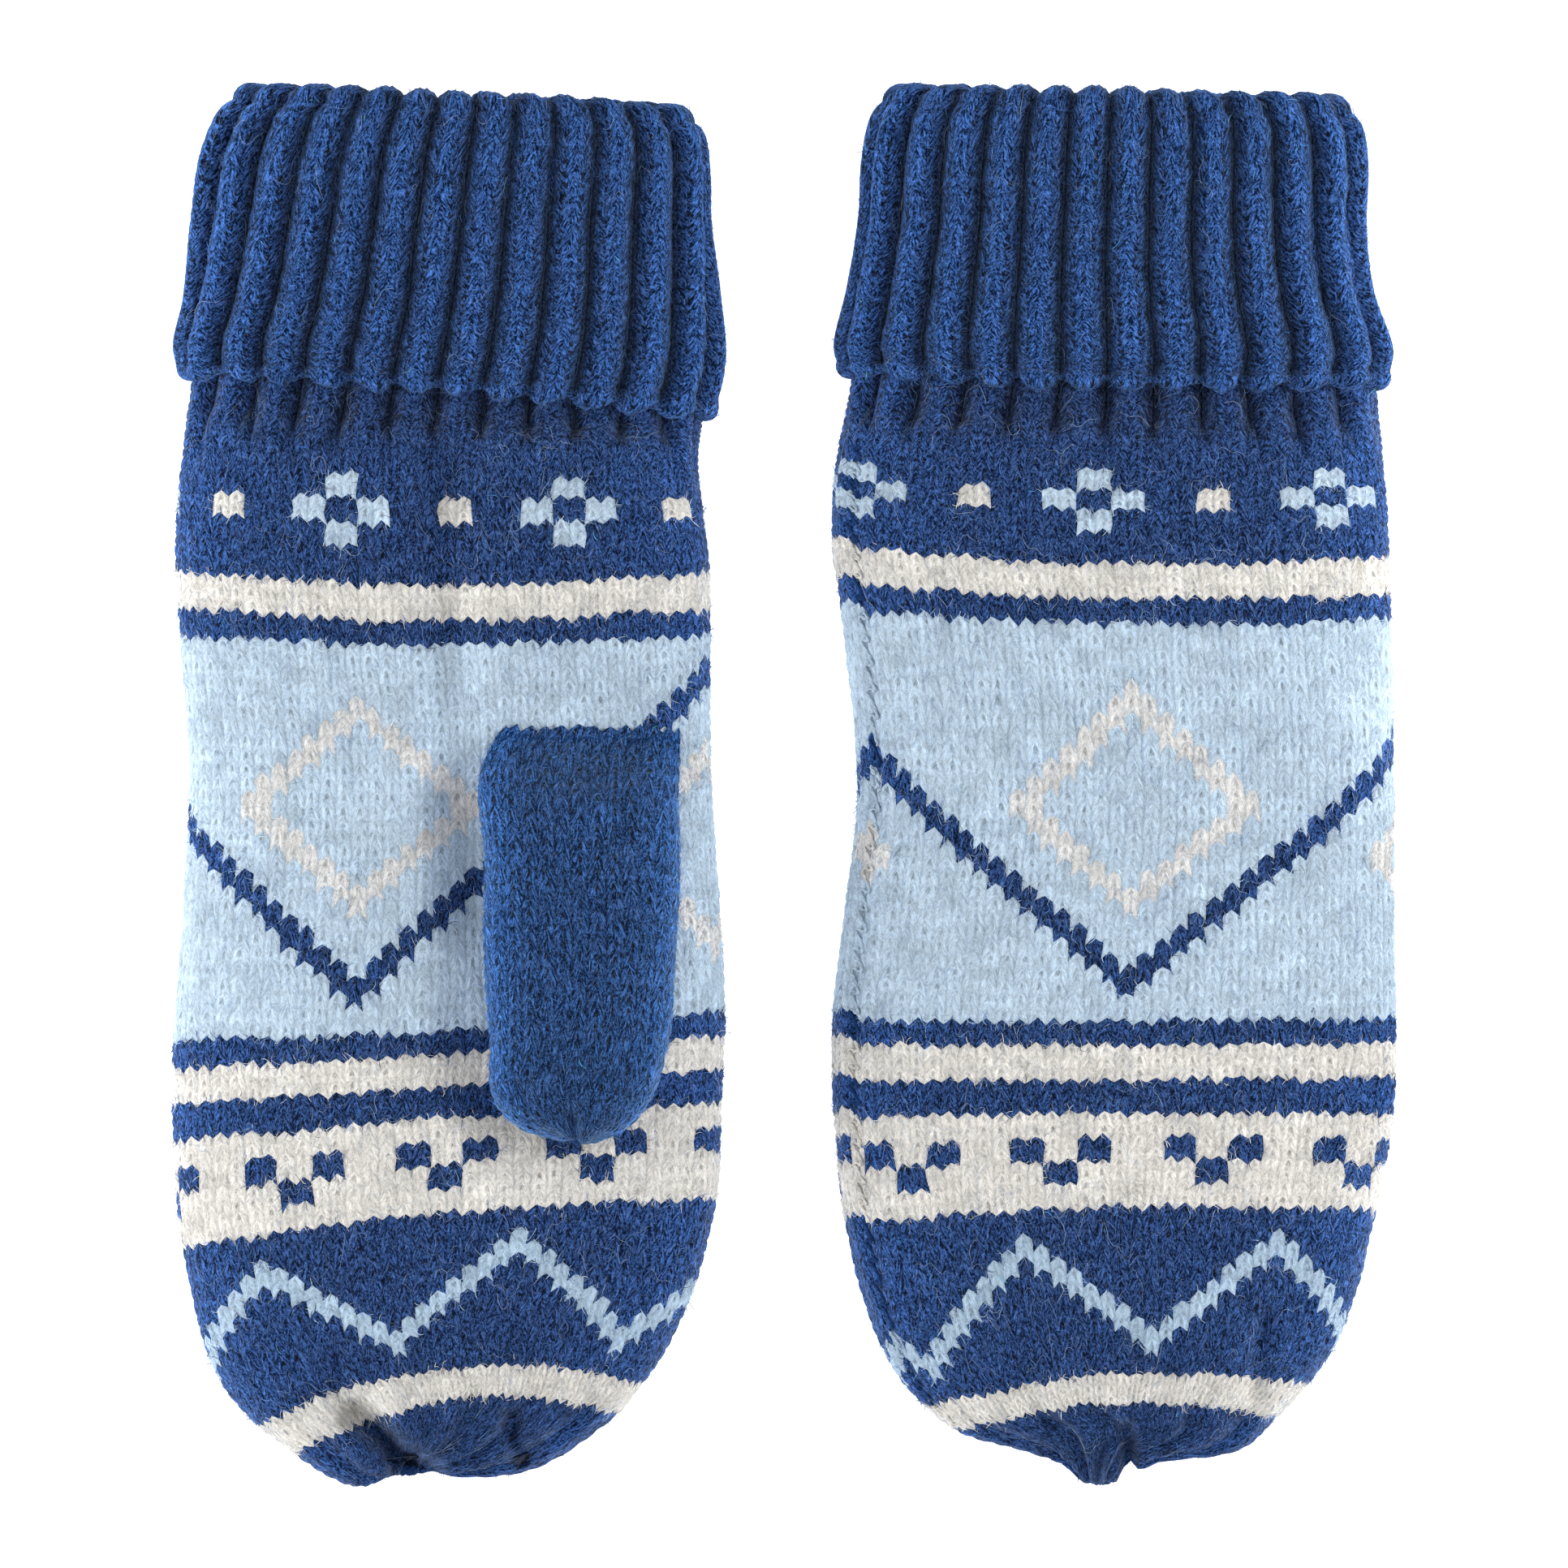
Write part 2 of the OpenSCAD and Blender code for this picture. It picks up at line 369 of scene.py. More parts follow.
def knit_object(name, grid, colours, material, close_end=False):
    """The mesh of a grid, with its stitch coordinates as UV."""
    rows, columns = grid.points.shape[:2]
    quads = quads_of(rows, columns)
    step = grid.u[1] - grid.u[0]
    j, i = np.divmod(np.arange(len(quads)), columns)
    low_u, low_v, high_v = grid.u[i], grid.v[j], grid.v[j + 1]
    uv = np.stack(
        [
            np.stack([low_u, low_v], -1),
            np.stack([low_u, high_v], -1),
            np.stack([low_u + step, high_v], -1),
            np.stack([low_u + step, low_v], -1),
        ],
        1,
    ).reshape(-1, 2)
    points = grid.points.reshape(-1, 3)
    triangles = None
    if close_end:
        ring = (rows - 1) * columns + np.arange(columns)
        middle = np.full(columns, len(points))
        points = np.vstack([points, points[ring].mean(0)])
        triangles = np.stack([ring, middle, np.roll(ring, -1)], -1)
        corner_uv = np.stack([grid.u, np.full(columns, grid.v[-1])], -1)
        uv = np.vstack([uv, np.repeat(corner_uv, 3, axis=0)])
        colours = np.vstack([colours, colours[-columns:]])
    return new_object(name, points, quads, triangles, colours, uv, material)


def tooth(u):
    """How far below its row line a stitch's edge lies, in rows: its middle is nearest the cuff."""
    return TOOTH * (np.abs(2 * (u % 1) - 1) - 0.5)


def stitch_relief(u, v):
    """The two legs of each stitch, 0 to 1."""
    middle = np.abs(2 * (u % 1) - 1)
    legs = np.sin(math.pi * middle) + 0.3 * (1 - middle)
    along = np.sin(math.pi * (v % 1)).clip(0) ** 0.6
    return legs * (0.4 + 0.6 * along)


def rib_parts(u, phase):
    """Which rib a point is in, and where in it: 0 to 2 is knit and 2 to 3 is the groove."""
    return np.floor((u - phase) / 3), (u - phase) % 3


def rib_warp(u, phase):
    """u moved so that each rib's groove stitch is squeezed together."""
    rib, place = rib_parts(u, phase)
    squeezed = np.interp(place, [0, 1, 2, 3], [0, 3 * RIB_KNIT, 6 * RIB_KNIT, 3])
    centre = (3 - 6 * RIB_KNIT) / 2 - 0.5
    return rib * 3 + squeezed + phase + centre


def rib_height(u, phase):
    """Height of a rib above the bottom of its groove, 0 to 1."""
    _, place = rib_parts(u, phase)
    crest = 3 * RIB_KNIT
    off = np.abs(np.interp(place, [0, 2, 3], [0, 2 * crest, 3]) - crest)
    off = np.minimum(off, 3 - off) / 1.5
    return np.cos(off.clip(0, 1) * math.pi / 2) ** 0.85


def wander(u, v, seed, size):
    """Slow uneven rises and falls, about -1 to 1, that join up round the tube."""
    rng = np.random.default_rng(seed)
    total = np.zeros(np.broadcast(u, v).shape)
    for _ in range(7):
        turns = rng.integers(1, 7)
        pace = rng.uniform(0.4, 1.6) / size
        shift, slope = rng.uniform(0, 6.28, 2)
        wave = np.sin(2 * math.pi * turns * u / STITCHES + shift)
        total += wave * np.sin(v * pace + slope)
    return total / 3


TABLE_SHIFT = 40  # rows and stitches are counted from below 0, tables of random numbers from 0


def uneven(u, v, seed, around=STITCHES):
    """Random numbers from stitch to stitch, about -1 to 1, joined by straight slopes."""
    table = np.random.default_rng(seed).standard_normal((160, around)).clip(-2, 2)
    column, row = (u + FRONT) % around, v + TABLE_SHIFT
    i, j = np.floor(column).astype(int), np.floor(row).astype(int)
    a, b = row - j, column - i
    k = (i + 1) % around
    upper = table[j, i] * (1 - b) + table[j, k] * b
    lower = table[j + 1, i] * (1 - b) + table[j + 1, k] * b
    return upper * (1 - a) + lower * a


def knit_teeth(grid, fade, seed, around=STITCHES):
    """Slides the points of each row into the stitches' zigzag, each stitch a little its own way."""
    u = grid.u[None, :] + np.zeros(len(grid.v))[:, None]
    v = grid.v[:, None] + np.zeros(len(grid.u))[None, :]
    slide = tooth(u) * (1 + 0.25 * uneven(u, v, seed, around))
    slide = slide + 0.13 * uneven(u, v, seed + 1, around)
    along = np.gradient(grid.points, axis=0) / np.gradient(grid.v)[:, None, None]
    right = (np.roll(grid.points, -1, 1) - np.roll(grid.points, 1, 1)) * (PER_STITCH / 2)
    shift = 0.07 * uneven(u, v, seed + 2, around)
    move = along * slide[..., None] + right * shift[..., None]
    grid.points = grid.points + move * fade[:, None, None]
    grid.normals = grid.find_normals()
    return u, v


# ---- charts


def folded(u, centre, period):
    """Distance from the nearest repeat of centre."""
    return np.abs((u - centre + period / 2) % period - period / 2)


# First and last row and yarn of each stripe, and how many stitches each pattern takes to repeat.
STRIPES = ((12, 15, CREAM), (17, 45, BLUE), (47, 50, CREAM), (53, 61, CREAM), (75, 78, CREAM))
FLOWER_REPEAT, FIELD_REPEAT, DOT_REPEAT, ZIGZAG_REPEAT = 14, 44, 9, 16
FLOWER_ROW, FIELD_ROWS, DOT_ROWS, ZIGZAG_ROWS = 6, (17, 45), (53, 61), (61, 75)
# Rows counted from a pattern's first row, towards the fingertips: the middle of the diamond inside
# the V of the field's line, the middle of the one beside it, the point of the V, and the zigzag's
# points nearest the wrist.
DIAMOND_ROW, SIDE_DIAMOND_ROW, VALLEY_ROW, PEAK_ROW = 12, 16, 25, 3
DIAMOND_EDGE = (5.8, 7.8)  # stitches across plus rows down from a diamond's middle to its frame


def within(value, low, high):
    """True between low and high."""
    return (value > low) & (value < high)


def chart(side, u, v):
    """The yarn of the stitch at column middle u and row middle v. The pattern is the same on
    both sides of the seam."""
    beyond = (u - side["seam"]) % STITCHES
    u = side["seam"] + np.minimum(beyond, STITCHES - beyond)
    yarn = np.full(np.broadcast(u, v).shape, NAVY)
    for first, last, colour in STRIPES:
        yarn[within(v, first, last)] = colour

    across, down = folded(u, side["flower"], FLOWER_REPEAT), np.abs(v - FLOWER_ROW)
    petals = ((across < 1) & within(down, 1, 3)) | (within(across, 1, 3) & (down < 1))
    yarn[petals] = BLUE
    yarn[(across > FLOWER_REPEAT / 2 - 1) & (down < 1)] = CREAM

    field, row = within(v, *FIELD_ROWS), v - FIELD_ROWS[0]
    from_valley = folded(u, side["valley"], FIELD_REPEAT)
    from_side = FIELD_REPEAT / 2 - from_valley
    for across, centre in ((from_valley, DIAMOND_ROW), (from_side, SIDE_DIAMOND_ROW)):
        yarn[field & within(across + np.abs(row - centre), *DIAMOND_EDGE)] = FRAME_CREAM
    line = np.abs(row - (VALLEY_ROW - from_valley)) < 1
    yarn[field & line] = NAVY

    across, row = folded(u, side["group"], DOT_REPEAT), v - DOT_ROWS[0]
    dots = (within(across, 1, 3) & within(row, 2, 4)) | ((across < 1) & within(row, 4, 6))
    yarn[dots & within(v, *DOT_ROWS)] = NAVY

    row = v - ZIGZAG_ROWS[0]
    line = np.abs(row - (PEAK_ROW + folded(u, side["peak"], ZIGZAG_REPEAT))) < 1
    yarn[line & within(v, *ZIGZAG_ROWS)] = LINE_BLUE
    return yarn


# ---- shapes


def capsule_distance(x, y, start, angle, length):
    """Distance to a line from start, that points to -y and is swung outwards by angle."""
    dx, dy = math.sin(angle), -math.cos(angle)
    along = np.clip((x - start[0]) * dx + (y - start[1]) * dy, 0, length)
    return np.hypot(x - start[0] - along * dx, y - start[1] - along * dy)


def swept_by_thumb(x, y, middle_x, start_y):
    """1 where the swinging thumb may lie, falling to 0 round it."""
    pivot = (middle_x, start_y - THUMB_PIVOT)
    swing = np.radians(np.linspace(0, THUMB_SWING, 9))
    near = np.min([capsule_distance(x, y, pivot, a, THUMB_REACH) for a in swing], axis=0)
    return 1 - smooth(near, THUMB_NEAR, THUMB_FAR)


def box_mm(node):
    """The lowest and highest corner of a CAD node."""
    low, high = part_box(node)
    return np.array(low) / MM, np.array(high) / MM


class Mitten:
    """Measures and outlines of one mitten, from the frame and from its own numbers."""

    def __init__(self, name):
        self.name = name
        self.side = SIDES[name]
        low, high = box_mm(f"{name}_hand_knit")
        self.origin = ((low[0] + high[0]) / 2, high[1])
        self.outline = Outline(self.side["outline"], self.origin)
        self.turnback = Outline(self.side["turnback"], self.origin)
        low, high = box_mm(f"{name}_thumb_tube")
        self.thumb_low, self.thumb_high = low, high
        self.thumb_x, self.thumb_y = (low[0] + high[0]) / 2, high[1]
        self.thumb_above = name == "left"
        self.outwards = 1.0 if self.thumb_above else -1.0  # the hidden thumb's rings run backwards

    def seed(self, left, step=10):
        """The first number for the random draws of one kind of detail."""
        return left if self.thumb_above else left + step

    def flatten(self, x, y, z):
        """Heights with room made for the thumb: pressed in above it, or lifted over it."""
        swept = swept_by_thumb(x, y, self.thumb_x, self.thumb_y)
        if self.thumb_above:
            hollow = TOP - self.thumb_low[2] + 0.4
            return z * (1 - swept * hollow / TOP)
        lift = swept * (self.thumb_high[2] + 0.6)
        return lift + z * (1 - lift / (TOP + 0.5))

    def face_height(self, x, y):
        """Height of the face that the thumb grows from, at points x, y."""
        _, across = self.outline.find(x, y, 24)
        power = UPPER_POWER if self.thumb_above else LOWER_POWER
        depth = (TOP if self.thumb_above else 0) - MIDDLE
        z = MIDDLE + depth * (1 - np.abs(across) ** power) ** (1 / power)
        return self.flatten(x, y, z)


def tube(outline, rows, shares, top, middle, low, upper_power, lower_power):
    """Rings of points along an outline. shares is one array a row; heights are one a row."""
    points = np.empty((len(rows), shares.shape[1], 3))
    left_x, _, right_x, _, _ = outline.ends(rows)
    for j, row in enumerate(rows):
        half_width = (right_x[j] - left_x[j]) / 2
        across, z = section(
            shares[j], half_width, top[j], middle[j], low[j], upper_power, lower_power
        )
        x, y = outline.at(np.full(len(across), row), across)
        points[j] = np.stack([x, y, z], -1)
    return points


def shares_of(u):
    """Share round the tube of stitch coordinate u: the upper face holds 36 stitches."""
    u = np.where(u < -FRONT, u + STITCHES, u)
    front = (u + FRONT) / (2 * FRONT)
    back = 1 + (u - FRONT) / (STITCHES - 2 * FRONT)
    return np.where(u <= FRONT, front, back) % 2


U = -FRONT + np.arange(COLUMNS) / PER_STITCH
CUFF_U = -FRONT * TIGHTER + np.arange(CUFF_STITCHES * PER_STITCH) / PER_STITCH


def side_edges(share):
    """1 along the two side edges of a flattened tube, 0 over its upper and lower faces."""
    return np.abs(np.cos(math.pi * share)) ** 8


def rib_share(v, phase):
    """Shares round the tube for rows v: ribbed above the wrist, even below it."""
    ribbed = 1 - smooth(v, -3.5, 3.0)
    warped = rib_warp(U, phase)
    shifted = U[None, :] + (warped - U)[None, :] * ribbed[:, None]
    return shares_of(shifted)


def hand_tube(mitten):
    """The tube of the inner ribbing and the hand, before its stitches are raised."""
    even = np.arange(RIB_START * PER_STITCH, TIP_MESH * PER_STITCH) / PER_STITCH
    rows = np.concatenate([even, np.arange(TIP_MESH, ROWS, 1 / 3), [ROWS]])
    ending = np.clip((rows - TIP_START) / (ROWS + 0.4 - TIP_START), 0, 1)
    thick = np.sqrt(1 - ending**2.2)
    tucked = 1 - smooth(rows, -6.0, 0.5)
    top = MIDDLE + (TOP - MIDDLE) * thick - 2.6 * tucked
    low = MIDDLE - MIDDLE * thick + 3.4 * tucked
    middle = np.full(len(rows), MIDDLE)
    shares = rib_share(rows, mitten.side["rib_phase"])
    points = tube(mitten.outline, rows, shares, top, middle, low, UPPER_POWER, LOWER_POWER)
    narrower = 0.1 * smooth(-rows, 20, -RIB_START)[:, None]
    points[..., 0] -= narrower * (points[..., 0] - mitten.origin[0])
    return Grid(points, U, rows)


def hand_relief(mitten, u, v, seed):
    """How far the hand's surface stands out: stitches, ribs, the sunk seam and the drawn-in tip."""
    relief = HAND_RELIEF * stitch_relief(u, v) * (1 - smooth(v, 83, 86))
    relief *= 1 + 0.3 * uneven(u, v, seed + 5)
    relief += 0.5 * wander(u, v, seed + 6, 6) * smooth(v, -2, 12)
    rib_end = 1.2 * uneven(np.floor(u / 3) * 3, v * 0, seed + 7)
    ribbed = 1 - smooth(v + rib_end, -4.0, 1.5)
    relief += (RIB_DEPTH * (rib_height(u, mitten.side["rib_phase"]) - 1) + 0.3) * ribbed
    from_seam = np.abs((u - mitten.side["seam"] + STITCHES / 2) % STITCHES - STITCHES / 2)
    relief -= SEAM_DEPTH * np.exp(-((from_seam / SEAM_WIDTH) ** 2)) * smooth(v, -2, 3)
    return relief + tip_relief(u, v)


def hand_grid(mitten):
    """The surface of the inner ribbing and the hand, in one grid, and the yarn of each face."""
    grid = hand_tube(mitten)
    seed = mitten.seed(300)
    u, v = knit_teeth(grid, 1 - smooth(grid.v, 82, 85), seed)
    x, y = grid.points[..., 0], grid.points[..., 1]
    grid.points[..., 2] = mitten.flatten(x, y, grid.points[..., 2])
    beyond = np.where(u < mitten.side["seam"], mitten.side["seam"] - u, 99.0)
    jog = mitten.side["jog"] * np.exp(-beyond / 7) * smooth(v, -2, 8) * (1 - smooth(v, 66, 76))
    grid.points[..., 1] += jog
    grid.normals = grid.find_normals()

    grid.push(hand_relief(mitten, u, v, seed))
    add_creases(mitten, grid)
    grid.points[..., 2] = np.maximum(grid.points[..., 2], FLOOR)
    grid.normals = grid.find_normals()
    centres_u, centres_v = grid.face_centres()
    yarn = chart(mitten.side, np.floor(centres_u) + 0.5, np.floor(centres_v) + 0.5)
    return grid, yarn


def tip_relief(u, v):
    """Soft folds where the last rows are drawn together."""
    drawn = smooth(v, 72, 82) * (1 - smooth(v, 85, 86.5))
    folds = np.cos(2 * math.pi * u / 5.0 + 0.6 * np.sin(u * 0.9)) - 0.3
    return 0.9 * drawn * folds


def press(grid, start, end, depth, width):
    """Presses a soft crease into the upper face along a line."""
    x, y = grid.points[..., 0], grid.points[..., 1]
    line = np.array(end) - np.array(start)
    share = np.clip(((x - start[0]) * line[0] + (y - start[1]) * line[1]) / (line @ line), 0, 1)
    far = np.hypot(x - start[0] - share * line[0], y - start[1] - share * line[1])
    upper = smooth(grid.points[..., 2], MIDDLE - 3, MIDDLE + 4)
    grid.points[..., 2] -= depth * np.exp(-((far / width) ** 2)) * upper


# Creases in the upper face: start, end, depth and width. A notch in the edge of the tip: x, y,
# depth and width. All in mm from the wrist's middle.
CREASES = {
    "left": {
        "lines": [
            ((-21.0, -165.0), (-19.5, -177.0), 1.6, 1.5),
            ((-1.5, -5.0), (-0.5, -52.0), 4.4, 5.4),
            ((0.8, -63.0), (2.5, -84.0), 3.6, 5.2),
            ((-18.0, -175.5), (-4.5, -188.0), 8.0, 2.7),
            ((10.5, -176.0), (12.5, -186.5), 4.0, 1.8),
        ],
        "notch": (-3.5, -187.5, 0.7, 2.2),
    },
    "right": {
        "lines": [
            ((1.9, -178.5), (2.6, -187.5), 5.0, 1.5),
            ((27.0, -159.0), (24.5, -172.0), 2.2, 2.0),
            ((-12.0, -178.0), (-9.0, -184.0), 1.2, 2.0),
        ],
        "notch": (2.4, -186.0, 3.2, 1.3),
    },
}


def add_creases(mitten, grid):
    """The creases in a mitten's upper face, and the notch where its tip is drawn in."""
    ox, oy = mitten.origin
    for start, end, depth, width in CREASES[mitten.name]["lines"]:
        shifted = [(p[0] + ox, p[1] + oy) for p in (start, end)]
        press(grid, *shifted, depth, width)
    notch_x, notch_y, depth, width = CREASES[mitten.name]["notch"]
    x, y = grid.points[..., 0] - ox, grid.points[..., 1] - oy
    near = np.exp(-(((x - notch_x) / width) ** 2)) * smooth(notch_y - y, -7, 0)
    grid.points[..., 1] += depth * near


def stitch_colours(grid, yarn, seed):
    """A colour for each face: its yarn, a little lighter or darker from stitch to stitch."""
    rng = np.random.default_rng(seed)
    centres_u, centres_v = grid.face_centres()
    stitch = np.floor(centres_u).astype(int) + TABLE_SHIFT
    row = np.floor(centres_v).astype(int) + TABLE_SHIFT
    shade = 1 + STITCH_SPREAD * rng.standard_normal((200, 200))[row, stitch]
    return (YARNS[yarn] * shade[..., None]).reshape(-1, 3)


# ---- materials


class Nodes:
    """A short way to write a material's nodes."""

    def __init__(self, name):
        self.material = bpy.data.materials.new(name)
        self.material.use_nodes = True
        self.tree = self.material.node_tree
        self.shader = self.tree.nodes["Principled BSDF"]

    def new(self, kind, **settings):
        node = self.tree.nodes.new(kind)
        for key, value in settings.items():
            setattr(node, key, value)
        return node

    def put(self, socket, value):
        if isinstance(value, bpy.types.NodeSocket):
            self.tree.links.new(value, socket)
        else:
            socket.default_value = value

    def math(self, operation, *values):
        node = self.new("ShaderNodeMath", operation=operation)
        for k, value in enumerate(values):
            self.put(node.inputs[k], value)
        return node.outputs[0]

    def times(self, a, b):
        return self.math("MULTIPLY", a, b)

    def plus(self, a, b):
        return self.math("ADD", a, b)

    def minus(self, a, b):
        return self.math("SUBTRACT", a, b)

    def scaled(self, colour, shade):
        node = self.new("ShaderNodeVectorMath", operation="SCALE")
        self.put(node.inputs[0], colour)
        self.put(node.inputs["Scale"], shade)
        return node.outputs[0]

    def ramp(self, value, low, high, out_low, out_high):
        """A smooth step from out_low to out_high, while value goes from low to high."""
        node = self.new("ShaderNodeMapRange", interpolation_type="SMOOTHSTEP")
        for k, item in enumerate((value, low, high, out_low, out_high)):
            self.put(node.inputs[k], item)
        return node.outputs[0]

    def noise(self, vector, scale, detail=2.0, roughness=0.55):
        node = self.new("ShaderNodeTexNoise")
        self.put(node.inputs["Vector"], vector)
        self.put(node.inputs["Scale"], scale)
        self.put(node.inputs["Detail"], detail)
        self.put(node.inputs["Roughness"], roughness)
        return node.outputs["Fac"]

    def combine(self, x, y, z):
        node = self.new("ShaderNodeCombineXYZ")
        for k, value in enumerate((x, y, z)):
            self.put(node.inputs[k], value)
        return node.outputs[0]


FIBRE_LEAN = 0.9  # how far the fibres slant in one row of stitches
DARK_YARN, PALE_YARN = 0.06, 0.4  # brightness of the yarns that the wool shader tells apart


def wool_gaps(n, middle, v, patch):
    """How dark the painted shade is between rows, between stitches, and in some patches between a
    stitch's legs.
    middle is 0 between the legs of a stitch and 1 at its sides."""
    row = n.math("ABSOLUTE", n.minus(n.times(n.math("FRACT", v), 2), 1))
    gap_row = n.ramp(row, 0.4, 1.0, 0.0, 0.6)
    gap_side = n.ramp(middle, 0.6, 1.0, 0.0, 0.8)
    gap_middle = n.times(n.ramp(middle, 0.45, 0.05, 0.0, 2.2), n.ramp(row, 0.75, 0.2, 0.0, 1.0))
    gap_middle = n.times(gap_middle, n.ramp(patch, 0.35, 0.65, 0.2, 1.0))
    return n.math("MAXIMUM", gap_row, n.math("MAXIMUM", gap_side, gap_middle))


def wool(name, gap_shade=0.22, bump=0.5, sheen=0.25, nap_tint=(0.75, 0.87, 1.0)):
    """Spun wool, in stitch coordinates: uneven fibres that run along each leg, painted shade in the
    gaps between the legs, patches of a fulled surface, and the sheen of its nap. Dark yarn shows
    its lighter fibres more than pale yarn does, and gets a painted glint on the lightest of them."""
    n = Nodes(name)
    uv = n.new("ShaderNodeSeparateXYZ")
    n.put(uv.inputs[0], n.new("ShaderNodeUVMap", uv_map="UVMap").outputs[0])
    place = n.new("ShaderNodeTexCoord").outputs["Object"]
    yarn = n.new("ShaderNodeAttribute", attribute_name="yarn").outputs["Color"]
    stir = n.minus(n.noise(place, 420.0, 2.0, 0.5), 0.5)
    u = n.plus(uv.outputs[0], n.times(stir, 0.28))
    v = n.plus(uv.outputs[1], n.times(stir, 0.4))

    middle = n.times(n.math("ABSOLUTE", n.minus(n.math("FRACT", u), 0.5)), 2)
    leg = n.math("FLOOR", n.times(u, 2))
    across = n.minus(n.times(middle, 1.3), n.times(v, FIBRE_LEAN))
    along = n.plus(n.times(middle, 0.75), n.times(v, 2.1))
    strand = n.combine(n.times(across, 4.2), n.times(along, 0.8), n.times(leg, 3.7))
    fibre = n.noise(strand, 1.0, 3.0, 0.65)
    fine = n.noise(place, 2300.0, 2.0, 0.6)
    patch = n.noise(place, 150.0, 3.0, 0.6)

    gap = wool_gaps(n, middle, v, patch)

    light = n.new("ShaderNodeRGBToBW")
    n.put(light.inputs[0], yarn)

    def by_yarn(dark, pale):
        """One value on dark yarn, another on pale yarn."""
        return n.ramp(light.outputs[0], DARK_YARN, PALE_YARN, dark, pale)

    contrast = by_yarn(1.6, 0.22)
    deep = by_yarn(3.0 * gap_shade, 1.1 * gap_shade)
    hair = n.plus(n.ramp(fibre, 0.28, 0.76, -0.8, 1.5), n.ramp(fine, 0.3, 0.72, -0.45, 0.65))
    shade = n.plus(1.0, n.times(hair, contrast))
    # painted shade: darker down in the gaps between rows, stitches and legs, more so on dark yarn
    shade = n.minus(shade, n.times(gap, deep))
    shade = n.times(shade, n.ramp(patch, 0.3, 0.7, 0.9, 1.1))
    tint = n.scaled(yarn, n.math("MAXIMUM", shade, 0.12))
    # painted glint: grey-white added where the fibres of dark yarn are lightest, partly their paler
    # colour and partly a painted highlight
    glint = n.times(n.math("MAXIMUM", hair, 0.0), by_yarn(0.032, 0.0))
    glinting = n.new("ShaderNodeVectorMath", operation="ADD")
    n.put(glinting.inputs[0], tint)
    n.put(glinting.inputs[1], n.combine(glint, glint, glint))
    n.put(n.shader.inputs["Base Color"], glinting.outputs[0])

    height = n.minus(n.times(fibre, 1.0), n.times(gap, 0.5))
    height = n.plus(height, n.times(fine, 0.5))
    relief = n.new("ShaderNodeBump")
    n.put(relief.inputs["Strength"], bump)
    n.put(relief.inputs["Distance"], 0.0006)
    n.put(relief.inputs["Height"], height)
    n.put(n.shader.inputs["Normal"], relief.outputs[0])
    finish_wool(n.shader, sheen, nap_tint)
    return n.material


def finish_wool(shader, sheen, nap_tint):
    """What all wool has in common: a matt surface and the pale sheen of its nap."""
    shader.inputs["Roughness"].default_value = 0.92
    shader.inputs["Specular IOR Level"].default_value = 0.06
    shader.inputs["Sheen Weight"].default_value = sheen
    shader.inputs["Sheen Roughness"].default_value = 0.4
    shader.inputs["Sheen Tint"].default_value = (*nap_tint, 1.0)


def loose_wool(name):
    """Single fibres: the yarn's own colour, a little uneven."""
    n = Nodes(name)
    yarn = n.new("ShaderNodeAttribute", attribute_name="yarn").outputs["Color"]
    place = n.new("ShaderNodeTexCoord").outputs["Object"]
    shade = n.ramp(n.noise(place, 900.0), 0.3, 0.7, 0.85, 1.15)
    n.put(n.shader.inputs["Base Color"], n.scaled(yarn, shade))
    finish_wool(n.shader, 0.15, (0.8, 0.9, 1.0))
    return n.material


NAVY_NAP = (0.45, 0.69, 1.0)
HAND_WOOL = wool("stranded_wool")
INNER_RIB_WOOL = wool("inner_rib_wool", sheen=0.4)
RIB_WOOL = wool("ribbed_wool", gap_shade=0.3, bump=0.7, nap_tint=NAVY_NAP)
THUMB_WOOL = wool("thumb_wool", gap_shade=0.3, bump=0.6, sheen=0.8, nap_tint=NAVY_NAP)
LOOSE_WOOL = loose_wool("loose_fibres")


# ---- loose fibres


FIBRE_FLOOR = 0.02  # no fibre lies lower than this, mm
DARK = 0.2  # mean brightness of a colour that counts as dark wool
PALE_FIBRE = np.array([0.6, 0.69, 0.85])
STRAY_TINTS = np.array([linear(150, 178, 215), linear(185, 205, 232), linear(110, 142, 190)])


def fibre_mesh(name, paths, normals, radius, colours, sides=3, taper=(1, 0.9, 0.35)):
    """Thin closed tubes. paths is fibres x points x 3, in mm. normals and colours are one to a
    fibre, or one to a point and one to a stretch between points."""
    count, steps = paths.shape[:2]
    along = unit(np.gradient(paths, axis=1))
    side = unit(np.cross(along, normals.reshape(count, -1, 3)))
    up = np.cross(side, along)
    taper = np.interp(np.linspace(0, 1, steps), [0, 0.6, 1], taper)
    rings = np.empty((count, steps, sides, 3))
    for k in range(sides):
        angle = 2 * math.pi * k / sides + math.pi / 2
        offset = math.cos(angle) * side + math.sin(angle) * up
        rings[:, :, k] = paths + offset * (radius[:, None] * taper)[..., None]
    base = np.arange(count)[:, None, None] * steps * sides
    step = base + np.arange(steps - 1)[None, :, None] * sides
    k = np.arange(sides)[None, None, :]
    after = (k + 1) % sides
    corners = [step + k, step + after, step + sides + after, step + sides + k]
    quads = np.stack(np.broadcast_arrays(*corners), -1).reshape(-1, 4)
    first = np.arange(count) * steps * sides
    last = first + (steps - 1) * sides
    fan = range(1, sides - 1)
    ends = [np.stack([first, first + k + 1, first + k], -1) for k in fan]
    ends += [np.stack([last, last + k, last + k + 1], -1) for k in fan]
    shades = np.broadcast_to(colours.reshape(count, -1, 3), (count, steps - 1, 3))
    face_colours = [np.repeat(shades.reshape(-1, 3), sides, axis=0)]
    face_colours += [shades[:, 0]] * len(fan) + [shades[:, -1]] * len(fan)
    points = rings.reshape(-1, 3)
    points[:, 2] = np.maximum(points[:, 2], FIBRE_FLOOR)
    return new_object(
        name, points, quads, np.concatenate(ends), np.concatenate(face_colours), None, LOOSE_WOOL
    )


